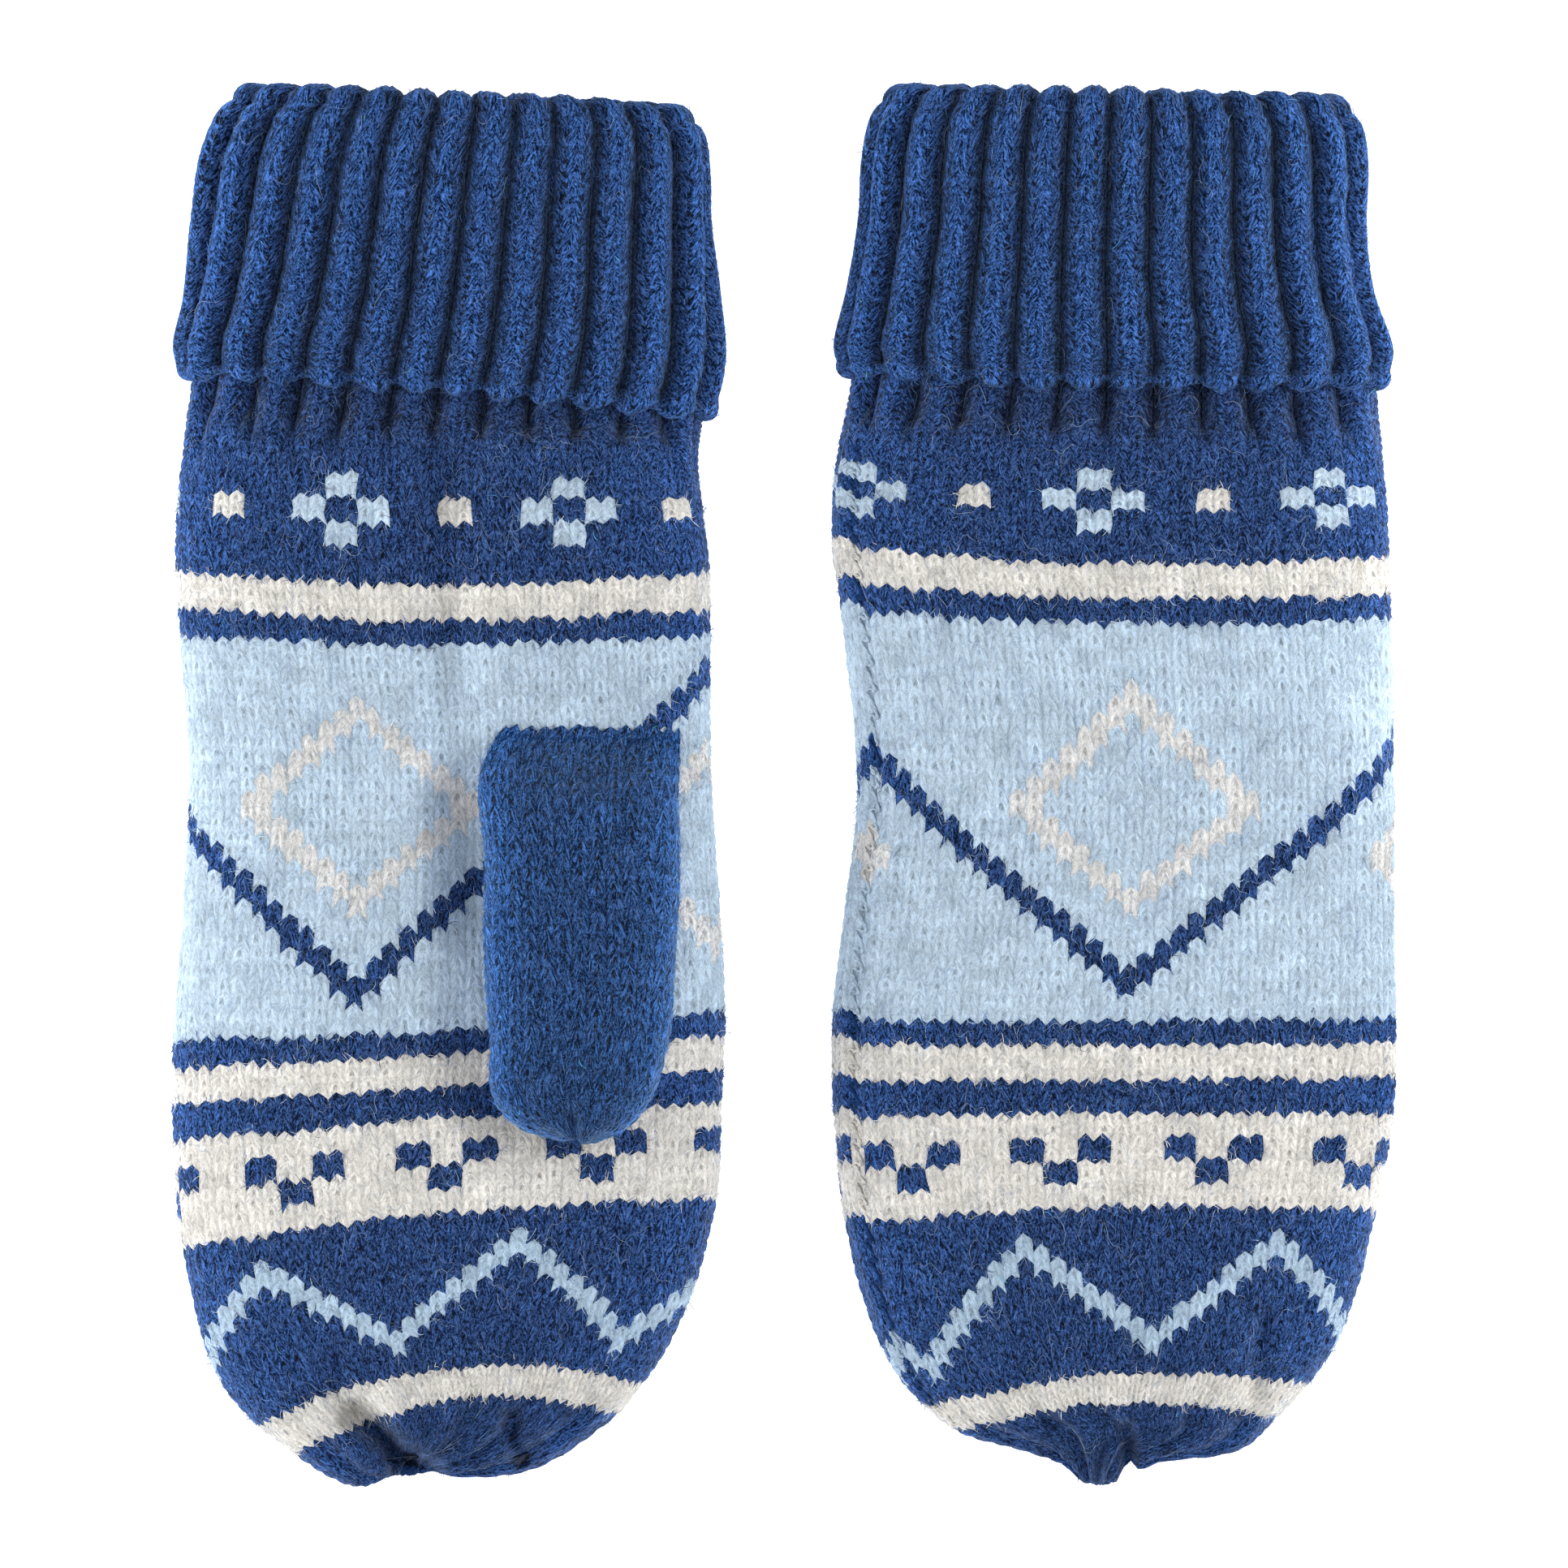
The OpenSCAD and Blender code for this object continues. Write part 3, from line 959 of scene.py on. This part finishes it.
def plies(path, normals, radius, pitch):
    """The two strands of a yarn along a path, twisted once round each other in each pitch."""
    along = unit(np.gradient(path, axis=0))
    length = np.cumsum(np.linalg.norm(np.gradient(path, axis=0), axis=1))
    side = unit(np.cross(along, normals))
    up = np.cross(side, along)
    angle = (2 * math.pi * length / pitch)[:, None]
    turn = (np.cos(angle) * side + np.sin(angle) * up) * radius / 2
    return [path + turn, path - turn]


def yarn_mesh(name, paths, normals, radius, colours, pitch=2.6):
    """Two-ply yarns along paths, as one mesh."""
    strands = [ply for pair in zip(paths, normals) for ply in plies(*pair, radius, pitch)]
    ply_normals = np.repeat(np.asarray(normals), 2, axis=0)
    ply_colours = np.repeat(np.asarray(colours), 2, axis=0)
    thin = np.full(len(strands), 0.58 * radius)
    return fibre_mesh(name, np.stack(strands), ply_normals, thin, ply_colours, 8, (1, 1, 1))


def face_areas(grid):
    """The area of each face of a grid, rows by columns."""
    p = grid.points
    right = np.roll(p, -1, 1) - p
    down = p[1:] - p[:-1]
    return np.linalg.norm(np.cross(right[:-1], down), axis=2)


def at(array, row, column):
    """An array of the grid read between its rows and columns."""
    rows, columns = array.shape[:2]
    row = np.clip(row, 0, rows - 1.001)
    j, i = np.floor(row).astype(int), np.floor(column).astype(int)
    a, b = (row - j)[:, None], (column - i)[:, None]
    i, k = i % columns, (i + 1) % columns
    upper = array[j, i] * (1 - b) + array[j, k] * b
    lower = array[j + 1, i] * (1 - b) + array[j + 1, k] * b
    return upper * (1 - a) + lower * a


def roots_on(grid, count, rng, weight=None):
    """Random places on a grid, spread by area, as row and column numbers."""
    area = face_areas(grid)
    if weight is not None:
        area = area * weight
    total = np.cumsum(area.ravel())
    chosen = np.searchsorted(total, rng.random(count) * total[-1])
    j, i = np.divmod(chosen, area.shape[1])
    return j + rng.random(count), i + rng.random(count), j, i


def short_fibres(
    name, grid, colours, count, seed, length=(1.0, 2.6), lift=0.35, weight=None, thin=0.0
):
    """A nap of short fibres that lie nearly flat, mostly along the stitches."""
    rng = np.random.default_rng(seed)
    row, column, j, i = roots_on(grid, count, rng, weight)
    root = at(grid.points, row, column)
    normal = at(grid.normals, row, column)
    down = unit(at(grid.points, row + 1, column) - at(grid.points, row - 1, column))
    side = np.cross(normal, down)
    heading = rng.normal(0, 0.75, count) + math.pi * rng.integers(0, 2, count)
    bend = rng.normal(0, 0.7, count)
    reach = rng.uniform(*length, count)
    steps = [root - 0.1 * normal]
    rise = rng.gamma(2.0, lift / 2, count)
    for k in range(3):
        direction = np.cos(heading)[:, None] * down + np.sin(heading)[:, None] * side
        share = math.sin((k + 1) / 3 * math.pi * 0.6)
        step = steps[-1] + direction * (reach / 3)[:, None]
        step = step + normal * (rise * share / 2)[:, None]
        steps.append(step)
        heading = heading + bend * 0.5
    paths = np.stack(steps, 1)
    own = colours.reshape(len(grid.v) - 1, -1, 3)[j, i]
    dark = (own.mean(1) < DARK)[:, None]
    tone = np.exp(rng.normal(0.12, 0.22, count))[:, None]
    tone = np.where(dark, np.exp(rng.normal(0.3, 0.75, count))[:, None], tone)
    pale = np.clip(rng.normal(0.04, 0.06, count), 0, 0.4)[:, None]
    own = own * tone * (1 - pale) + PALE_FIBRE * pale
    radius = rng.uniform(0.03, 0.055 + thin, count)
    return fibre_mesh(name, paths, normal, radius, np.clip(own, 0, 1))


def stray_fibres(name, grid, tints, count, seed, steps=11, pace=0.85, weight=None):
    """Long curly fibres that wander over the surface, one step of up to pace mm at a time."""
    least = 0.35  # mesh steps shorter than this count as this long, mm
    rng = np.random.default_rng(seed)
    row, column, _, _ = roots_on(grid, count, rng, weight)
    normal = at(grid.normals, row, column)
    heading = rng.uniform(0, 2 * math.pi, count)
    curl = rng.normal(0, 0.25, count)
    height = rng.uniform(0.05, 0.4, count)
    pace = pace * rng.uniform(0.35, 1.1, count)
    paths = []
    for k in range(steps):
        lift = height * (0.35 + math.sin(math.pi * (k + 0.5) / steps))
        paths.append(at(grid.points, row, column) + at(grid.normals, row, column) * lift[:, None])
        right = at(grid.points, row, column + 1) - at(grid.points, row, column)
        down = at(grid.points, row + 1, column) - at(grid.points, row, column)
        column = column + pace * np.cos(heading) / np.linalg.norm(right, axis=1).clip(least)
        row = row + pace * np.sin(heading) / np.linalg.norm(down, axis=1).clip(least)
        heading = heading + curl + rng.normal(0, 0.35, count)
    own = tints[rng.integers(0, len(tints), count)] * rng.uniform(0.85, 1.15, count)[:, None]
    radius = rng.uniform(0.015, 0.03, count)
    return fibre_mesh(name, np.stack(paths, 1), normal, radius, np.clip(own, 0, 1))


# ---- pieces


def groove_shade(grid, phase, depth, strength=0.75, power=1.1):
    """A darker colour down in the grooves, where less of the nap catches light."""
    u, _ = grid.face_centres()
    height = rib_height(u, phase)
    return (1 - strength * depth[:, None] * (1 - height) ** power).reshape(-1, 1)


def build_hand(mitten):
    """The patterned hand and the inner ribbing. Returns their grid, colours and yarns."""
    grid, yarn = hand_grid(mitten)
    wrist = int(np.searchsorted(grid.v, 0.0))
    name, body = mitten.name, f"{mitten.name}_hand"
    colours = stitch_colours(grid, yarn, mitten.seed(20))
    depth = 1 - smooth(grid.v[:-1], -3.5, 0.5)
    colours = colours * groove_shade(grid, mitten.side["rib_phase"], depth)
    colours = colours.reshape(*yarn.shape, 3)
    # painted highlight: navy stitches lighter along the hand's side edges, where the side lights
    # and the nap's sheen brighten them
    colours *= 1 + 0.6 * (side_edges(shares_of(U)) * (yarn == NAVY))[..., None]

    hand = grid.part(wrist, None)
    shades = colours[wrist:].reshape(-1, 3)
    piece = knit_object(f"{name}_hand_wool", hand, shades, HAND_WOOL, close_end=True)
    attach(piece, body)
    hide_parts(f"{name}_hand_knit")

    rib = grid.part(0, wrist + 1)
    shades = colours[:wrist].reshape(-1, 3)
    piece = knit_object(f"{name}_rib_wool", rib, shades, INNER_RIB_WOOL)
    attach(piece, body)
    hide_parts(f"{name}_cuff_rib")
    return grid, colours, yarn


def build_inside(mitten, grid, colours):
    """The inner face of the fabric, which shows through the mouth of the cuff."""
    rows = np.searchsorted(grid.v, np.arange(-17.0, 83.0))
    inner = grid.points[rows] - INSIDE * grid.normals[rows]
    inner = Grid(inner[:, ::PER_STITCH], U[::PER_STITCH], grid.v[rows])
    shades = 0.8 * colours[rows[:-1], ::PER_STITCH].reshape(-1, 3)
    piece = knit_object(f"{mitten.name}_inside_wool", inner, shades, HAND_WOOL, close_end=True)
    piece.data.flip_normals()
    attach(piece, f"{mitten.name}_hand")


LIP_STEPS, FOLD_STEPS, RIM_STEPS = 40, 9, 8  # mesh rows in the mouth, over the fold, round the rim
OUTER_STEPS = TURNBACK_ROWS * PER_STITCH
RIM_RADIUS = 1.5
LIP_REACH = 1.05  # how far into the mouth the layer goes, in lengths of the layer
CUFF_MIDDLE = 11.0
CUFF_UPPER_POWER, CUFF_LOWER_POWER = 2.4, 3.4


def turnback_path():
    """The layer's course from deep inside the mouth, over the fold, to its cast-on edge. For each
    mesh row: share of the way from fold to edge, depth under the surface, and rise along Y."""
    stages = [(LIP_REACH * (1 - k / LIP_STEPS), 2 * LAYER + 0.3, 0.0) for k in range(LIP_STEPS)]
    for k in range(FOLD_STEPS):
        turn = math.pi * (1 - k / FOLD_STEPS)
        stages.append((0.0, LAYER * (1 - math.cos(turn)), LAYER * math.sin(turn)))
    stages += [(k / OUTER_STEPS, 0.0, 0.0) for k in range(OUTER_STEPS)]
    for k in range(RIM_STEPS + 1):
        turn = math.pi * 0.9 * k / RIM_STEPS
        stages.append((1.0, RIM_RADIUS * (1 - math.cos(turn)), -RIM_RADIUS * math.sin(turn)))
    return np.array(stages).T


def turnback_tube(mitten):
    """The turned-back layer before its stitches are raised. Its rows count from the cast-on edge,
    where its knitting began. Returns its grid, its shares and how strong its ribs are."""
    share, inset, raised = turnback_path()
    count, inside = len(share), LIP_STEPS + FOLD_STEPS
    rows = (inside + OUTER_STEPS - np.arange(count)) / PER_STITCH
    width_share = np.where(np.arange(count) < inside, 0.0, share)
    ribbed = 0.5 + 0.5 * smooth(rows, -0.4, 1.0)
    warped = rib_warp(CUFF_U, mitten.side["rib_phase"])
    shifted = CUFF_U[None, :] + (warped - CUFF_U)[None, :] * ribbed[:, None]
    shifted = shifted + mitten.side["rib_lean"] * (1 - share[:, None])
    ribbed = ribbed * (1 - 0.5 * np.exp(-(((rows - 28) / 1.6) ** 2)))
    shares = shares_of(shifted / TIGHTER)
    points = np.empty((count, len(CUFF_U), 3))
    left_x, _, right_x, _, _ = mitten.turnback.ends(width_share)
    full_left, _, full_right, _, _ = mitten.turnback.ends(share)
    top = CUFF_TOP - 1.0 * (1 - share) - inset
    low = FLOOR + 1.0 * (1 - share) + inset
    for j in range(count):
        half, full = (right_x[j] - left_x[j]) / 2, (full_right[j] - full_left[j]) / 2
        narrow = half - inset[j]
        across, z = section(
            shares[j], narrow, top[j], CUFF_MIDDLE, low[j], CUFF_UPPER_POWER, CUFF_LOWER_POWER
        )
        x, y = mitten.turnback.at(np.full(len(CUFF_U), share[j]), across * narrow / full)
        points[j] = np.stack([x, y + raised[j], z], -1)
    return Grid(points, CUFF_U, rows), shares, ribbed


def turnback_grid(mitten):
    """The surface of the turned-back layer."""
    grid, shares, ribbed = turnback_tube(mitten)
    seed = mitten.seed(400)
    toothed = smooth(grid.v, 0.0, 1.0) * (1 - smooth(grid.v, 27, 29))
    u, v = knit_teeth(grid, toothed, seed, CUFF_STITCHES)
    height = rib_height(u, mitten.side["rib_phase"])
    relief = CUFF_RIB_DEPTH * ribbed[:, None] * (height - 1) + 0.6
    flatter = 1 - 0.7 * side_edges(shares)
    uneven_stitches = 1 + 0.3 * uneven(u, v, seed + 5, CUFF_STITCHES)
    relief += CUFF_RELIEF * flatter * stitch_relief(u, v) * uneven_stitches
    relief += 0.5 * wander(u / TIGHTER, v, seed + 6, 5)
    at_rim = 1 - smooth(grid.v, 0.0, 1.0)[:, None]
    relief += at_rim * (0.2 + 0.3 * uneven(np.floor(u), v * 0, seed + 7, CUFF_STITCHES))
    grid.push(relief)
    grid.points[..., 2] = np.maximum(grid.points[..., 2], FLOOR)
    grid.normals = grid.find_normals()
    return grid


def build_cuff(mitten):
    """The turned-back layer and its cast-on rim. Returns the part that shows, with its colours."""
    grid = turnback_grid(mitten)
    name, body = mitten.name, f"{mitten.name}_cuff"
    first_outer = LIP_STEPS + FOLD_STEPS
    edge_at = first_outer + OUTER_STEPS - PER_STITCH
    yarn = np.full((len(grid.v) - 1, len(CUFF_U)), NAVY)
    colours = stitch_colours(grid, yarn, mitten.seed(60)) / YARNS[NAVY] * RIB_NAVY
    depth = 0.5 + 0.5 * smooth(grid.v[:-1], -0.2, 1.0)
    colours = colours * groove_shade(grid, mitten.side["rib_phase"], depth, 0.85, 0.9)
    colours = colours.reshape(*yarn.shape, 3)
    # painted highlight: the ribbing a little lighter along the cuff's side edges, where the side
    # lights brighten them
    colours *= 1 + 0.2 * side_edges(shares_of(CUFF_U / TIGHTER))[:, None]

    sleeve = grid.part(0, edge_at + 1)
    shades = colours[:edge_at].reshape(-1, 3)
    piece = knit_object(f"{name}_turnback_wool", sleeve, shades, RIB_WOOL)
    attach(piece, body)
    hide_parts(f"{name}_cuff_turnback")

    rim = grid.part(edge_at, None)
    shades = colours[edge_at:].reshape(-1, 3)
    piece = knit_object(f"{name}_cast_on_rim", rim, shades, RIB_WOOL)
    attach(piece, body)
    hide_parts(f"{name}_cuff_edge")
    first_seen = first_outer - 5  # half way over the fold
    return grid.part(first_seen, None), colours[first_seen:].reshape(-1, 3)


THUMB_STITCHES = 26
THUMB_U = np.arange(THUMB_STITCHES * PER_STITCH) / PER_STITCH
THUMB_TIP_START = 22  # from this row on, the thumb gets thinner
THUMB_SKIN = 0.4  # room left for the stitches inside the CAD thumb's height
THUMB_UPPER_POWER, THUMB_LOWER_POWER = 2.4, 3.0
HIDDEN_TOP = 13.0  # the right thumb is made the other way up, and turned over at this height
# Where the last stitches pull in at the tip: stitch, row and depth in mm.
THUMB_DIMPLES = ((3.0, 25.5, 1.2), (6.5, 28.2, 1.6))


def thumb_tube(mitten):
    """The thumb before its stitches are raised, level with the palm along its first row and a
    full tube after it."""
    rows = np.arange(THUMB_ROWS * PER_STITCH + 1) / PER_STITCH
    outline = Outline(THUMB_OUTLINE, (mitten.thumb_x, mitten.thumb_y))
    shares = np.tile(2 * THUMB_U / THUMB_STITCHES, (len(rows), 1))
    low, high = mitten.thumb_low[2], mitten.thumb_high[2]
    if not mitten.thumb_above:
        low, high = 1.0, HIDDEN_TOP
    ending = np.clip((rows - THUMB_TIP_START) / (THUMB_ROWS + 0.3 - THUMB_TIP_START), 0, 1)
    thick = np.sqrt(1 - ending**2.4)
    centre = (low + high) / 2 - THUMB_SKIN
    top = centre + (high - THUMB_SKIN - centre) * thick
    bottom = centre - (centre - low) * thick
    middle = np.full(len(rows), centre)
    powers = (THUMB_UPPER_POWER, THUMB_LOWER_POWER)
    points = tube(outline, rows, shares, top, middle, bottom, *powers)
    if not mitten.thumb_above:
        points[..., 2] = HIDDEN_TOP - points[..., 2]
    face = mitten.face_height(points[..., 0], points[..., 1])
    if mitten.thumb_above:
        sag = np.clip(face - (low - THUMB_SKIN), -4, 0)  # where the palm falls away
        points[..., 2] += 0.8 * sag
    upper = shares <= 1
    level = face + mitten.outwards * np.where(upper, 0.35, -1.6)
    risen = smooth(rows, 0.0, 7.0)[:, None]
    risen = np.where(upper, risen, smooth(rows, 2.0, 7.0)[:, None])
    points[..., 2] = level * (1 - risen) + points[..., 2] * risen
    return Grid(points, THUMB_U, rows)


def thumb_grid(mitten):
    """The surface of the thumb, with the last stitches drawn in at its tip."""
    grid = thumb_tube(mitten)
    u, v = knit_teeth(grid, 1 - smooth(grid.v, 26, 29), 500, THUMB_STITCHES)
    grid.normals = grid.find_normals() * mitten.outwards
    relief = THUMB_RELIEF * stitch_relief(u, v) * (1 - smooth(v, 28, 30))
    relief += 0.3 * np.sin(v * 0.5 + u * 0.7) * smooth(v, 2, 6)
    relief += 0.25 * smooth(v, 23, 28) * (np.cos(2 * math.pi * u / 4.3) - 0.4)
    for dimple_u, dimple_v, depth in THUMB_DIMPLES:
        near = ((u - dimple_u) / 0.8) ** 2 + ((v - dimple_v) / 1.1) ** 2
        relief -= depth * np.exp(-near)
    grid.push(relief)
    grid.normals = grid.find_normals() * mitten.outwards
    return grid


def build_thumb(mitten):
    """The thumb. Returns its grid and colours."""
    grid = thumb_grid(mitten)
    name = mitten.name
    yarn = np.full((len(grid.v) - 1, len(THUMB_U)), NAVY)
    colours = stitch_colours(grid, yarn, 81) / YARNS[NAVY] * THUMB_NAVY
    # painted highlight: the thumb much lighter along its two side edges, where the side lights and
    # the nap's sheen brighten them
    painted_edge_light = 1 + 1.1 * side_edges(2 * THUMB_U / THUMB_STITCHES)
    colours = (colours.reshape(*yarn.shape, 3) * painted_edge_light[:, None]).reshape(-1, 3)
    piece = knit_object(f"{name}_thumb_wool", grid, colours, THUMB_WOOL, close_end=True)
    if not mitten.thumb_above:
        piece.data.flip_normals()
    bend_thumb(piece)
    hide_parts(f"{name}_thumb_tube")
    return grid, colours


def bend_thumb(piece):
    """Bakes the piece's transform into its mesh."""
    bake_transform(piece)


def edges_between(yarn):
    """1 near a change of yarn, 0 elsewhere, for each face."""
    change = np.zeros(yarn.shape)
    for shift in range(1, PER_STITCH - 1):
        differs = yarn[shift:] != yarn[:-shift]
        change[:-shift] = np.maximum(change[:-shift], differs)
        change[shift:] = np.maximum(change[shift:], differs)
        for turn in (shift, -shift):
            change = np.maximum(change, np.roll(yarn, turn, 1) != yarn)
    return change


UNDERSIDE = 0.25  # how dense the fibres are on the underside, next to 1 on the upper face


def build_fibres(mitten, hand, hand_colours, yarn, cuff, cuff_colours, thumb, thumb_colours):
    """The nap and the stray fibres of one mitten, thickest where two yarns meet."""
    name = mitten.name
    seed = mitten.seed(100, 100)
    front = np.where(hand.v[:-1] < -7, 0.2, 1.0)[:, None] * np.where(U > FRONT, UNDERSIDE, 1.0)
    knitted = (hand.v[:-1] > 0)[:, None]
    edges = front * edges_between(yarn) * knitted
    tints, bright = STRAY_TINTS, STRAY_TINTS[:2] * 1.3
    pieces = [
        short_fibres(f"{name}_hand_nap", hand, hand_colours, 9900, seed, weight=front),
        short_fibres(f"{name}_second_nap", hand, hand_colours, 5000, seed + 6, weight=front),
        short_fibres(
            f"{name}_edge_nap", hand, hand_colours, 9900, seed + 7, (0.8, 2.2), 0.45, edges, 0.03
        ),
        stray_fibres(f"{name}_hand_strays", hand, tints, 1200, seed + 1, weight=front),
        stray_fibres(f"{name}_edge_strays", hand, bright, 350, seed + 5, 9, 0.8, edges),
    ]
    for piece in pieces:
        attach(piece, f"{name}_hand")
    outer = np.ones((len(cuff.v) - 1, 1)) * np.where(CUFF_U > FRONT * TIGHTER, UNDERSIDE, 1.0)
    pieces = [
        short_fibres(f"{name}_cuff_nap", cuff, cuff_colours, 8000, seed + 2, weight=outer),
        stray_fibres(f"{name}_cuff_strays", cuff, tints, 120, seed + 3, weight=outer),
    ]
    for piece in pieces:
        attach(piece, f"{name}_cuff")
    piece = short_fibres(f"{name}_thumb_nap", thumb, thumb_colours, 4500, seed + 4)
    bend_thumb(piece)


# ---- sewing and gathering yarns


def coil(centre, radius, turns):
    """Points along a coil round the Y axis that winds inwards."""
    angle = np.linspace(0, 2 * math.pi * turns, int(28 * turns) + 1)
    reach = radius * (1 - 0.3 * angle / angle[-1])
    return centre + np.stack([reach * np.cos(angle), -0.06 * angle, reach * np.sin(angle)], -1)


def add_gather(name, grid, radius, colour, body, node):
    """The yarn that draws the last stitches of a tube together, coiled just inside its tip."""
    path = coil(grid.points[-1].mean(0) + np.array([0, 0.9, 0]), radius, turns=2.4)
    lengthwise = np.tile([0.0, 1.0, 0.0], (len(path), 1))
    piece = yarn_mesh(name, [path], [lengthwise], 0.6, [colour[None, :]])
    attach(piece, body)
    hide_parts(node)


def add_seam(mitten, grid, colours):
    """The overcast yarn of the side seam, down in its groove and dyed like the wool beside it, with
    painted shade that makes it a little darker.
    """
    rows = np.arange(np.searchsorted(grid.v, 1.0), len(grid.v) - 12, 0.5)
    column = np.full(len(rows), (mitten.side["seam"] + FRONT) % STITCHES * PER_STITCH)
    zigzag = 1.3 * np.sin(rows * math.pi / 3)
    normals = at(grid.normals, rows, column)
    path = at(grid.points, rows, column + zigzag) + 0.25 * normals
    # painted shade: the seam yarn 15% darker than the wool beside it, for the shade down in its
    # groove
    shades = 0.85 * colours[rows[:-1].astype(int), int(column[0])]
    piece = yarn_mesh(f"{mitten.name}_seam_yarn", [path], [normals], 0.36, [shades])
    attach(piece, f"{mitten.name}_hand")
    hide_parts(f"{mitten.name}_side_seam")


def add_pickup(mitten, thumb):
    """The yarn of the picked-up stitches, all round the first row of the thumb."""
    row = 3  # of the mesh
    ring = np.vstack([thumb.points[row], thumb.points[row, :1]])
    normals = np.vstack([thumb.normals[row], thumb.normals[row, :1]])
    path = ring - 0.2 * normals
    colours = [THUMB_NAVY[None, :]]
    piece = yarn_mesh(f"{mitten.name}_pickup_yarn", [path], [normals], 0.34, colours, 3.2)
    bend_thumb(piece)
    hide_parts(f"{mitten.name}_thumb_pickup_ring")


def add_woven_ends(mitten):
    """Tails of the three yarns, woven in on the inside of the hand's plain face."""
    low, high = box_mm(f"{mitten.name}_woven_ends")
    steps, margin = 90, 0.9
    share = np.linspace(0, 1, steps)[:, None]
    middle_z = (low[2] + high[2]) / 2
    middle_z += 0.25 * (MIDDLE + 3 - middle_z)
    tail = (high[1] - low[1]) * 0.27
    paths, colours = [], []
    for k, yarn in enumerate((NAVY, BLUE, CREAM)):
        x = low[0] + margin + (high[0] - low[0] - 2 * margin) * k / 2 + 0.5 * np.sin(share * 40)
        y = low[1] + margin + (high[1] - low[1] - 2 * margin - tail) * k / 2 + tail * share
        z = middle_z + 0.3 * np.cos(share * 40)
        paths.append(np.hstack([x, y, z]))
        colours.append(YARNS[yarn][None, :])
    normals = [np.tile([0.0, 0.0, 1.0], (steps, 1))] * 3
    piece = yarn_mesh(f"{mitten.name}_yarn_tails", paths, normals, 0.5, colours)
    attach(piece, f"{mitten.name}_hand")
    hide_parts(f"{mitten.name}_woven_ends")


def build_mitten(name):
    """Every piece of one mitten."""
    mitten = Mitten(name)
    grid, colours, yarn = build_hand(mitten)
    cuff, cuff_colours = build_cuff(mitten)
    thumb, thumb_colours = build_thumb(mitten)
    build_inside(mitten, grid, colours)
    build_fibres(mitten, grid, colours, yarn, cuff, cuff_colours, thumb, thumb_colours)
    add_seam(mitten, grid, colours)
    add_woven_ends(mitten)
    add_pickup(mitten, thumb)
    hand_body, thumb_body = f"{name}_hand", f"{name}_thumb"
    add_gather(f"{name}_tip_yarn", grid, 1.9, YARNS[NAVY], hand_body, f"{name}_tip_gather")
    add_gather(f"{name}_thumb_yarn", thumb, 1.4, THUMB_NAVY, thumb_body, f"{name}_thumb_gather")


for mitten_name in SIDES:
    build_mitten(mitten_name)


# ---- stage, light and camera


def add_stage():
    """A white floor that shines by itself, so that it stays white in the photo's flat light."""
    half, z = 3.0, -0.0003
    mesh = bpy.data.meshes.new("floor")
    corners = [(-half, -half), (half, -half), (half, half), (-half, half)]
    mesh.from_pydata([(x, y, z) for x, y in corners], [], [(0, 1, 2, 3)])
    floor = bpy.data.objects.new("floor", mesh)
    bpy.context.scene.collection.objects.link(floor)
    n = Nodes("floor_paper")
    n.shader.inputs["Base Color"].default_value = (0.92, 0.92, 0.92, 1)
    n.shader.inputs["Roughness"].default_value = 0.9
    n.shader.inputs["Emission Color"].default_value = (1, 1, 1, 1)
    n.shader.inputs["Emission Strength"].default_value = 0.95
    mesh.materials.append(n.material)


def add_light(name, place, target, size, power):
    """A round area light at place that points at target."""
    data = bpy.data.lights.new(name, "AREA")
    data.shape, data.size, data.energy = "DISK", size, power
    lamp = bpy.data.objects.new(name, data)
    lamp.location = place
    away = lamp.location.copy()
    for k in range(3):
        away[k] -= target[k]
    lamp.rotation_mode = "QUATERNION"
    lamp.rotation_quaternion = away.to_track_quat("Z", "Y")
    bpy.context.scene.collection.objects.link(lamp)


def add_camera():
    """Straight above, far enough off for hardly any perspective. view is the width of the
    photo's frame, half way up the mittens."""
    distance, view, half_way = 3.0, 0.284, 0.012
    data = bpy.data.cameras.new("camera")
    data.lens = data.sensor_width * distance / view
    camera = bpy.data.objects.new("camera", data)
    camera.location = (0, 0, distance + half_way)
    bpy.context.scene.collection.objects.link(camera)
    bpy.context.scene.camera = camera


def add_world():
    """A faint, slightly blue light from all round."""
    world = bpy.data.worlds.new("studio")
    world.use_nodes = True
    background = world.node_tree.nodes["Background"]
    background.inputs["Color"].default_value = (0.95, 0.97, 1.0, 1)
    background.inputs["Strength"].default_value = 0.5
    bpy.context.scene.world = world
    bpy.context.scene.view_settings.view_transform = "Standard"


# Name, place, target, diameter and power of each light.
LIGHTS = (
    ("key", (0.3, 0.15, 0.95), (0, 0, 0), 0.5, 1.45),
    ("front", (0.0, -0.6, 0.35), (0, -0.05, 0), 0.4, 0.9),
    ("left_side", (-0.55, 0.0, 0.22), (-0.05, 0, 0), 0.4, 2.6),
    ("right_side", (0.55, 0.1, 0.22), (0.05, 0, 0), 0.4, 2.6),
)

add_world()
add_stage()
for light in LIGHTS:
    add_light(*light)
add_camera()
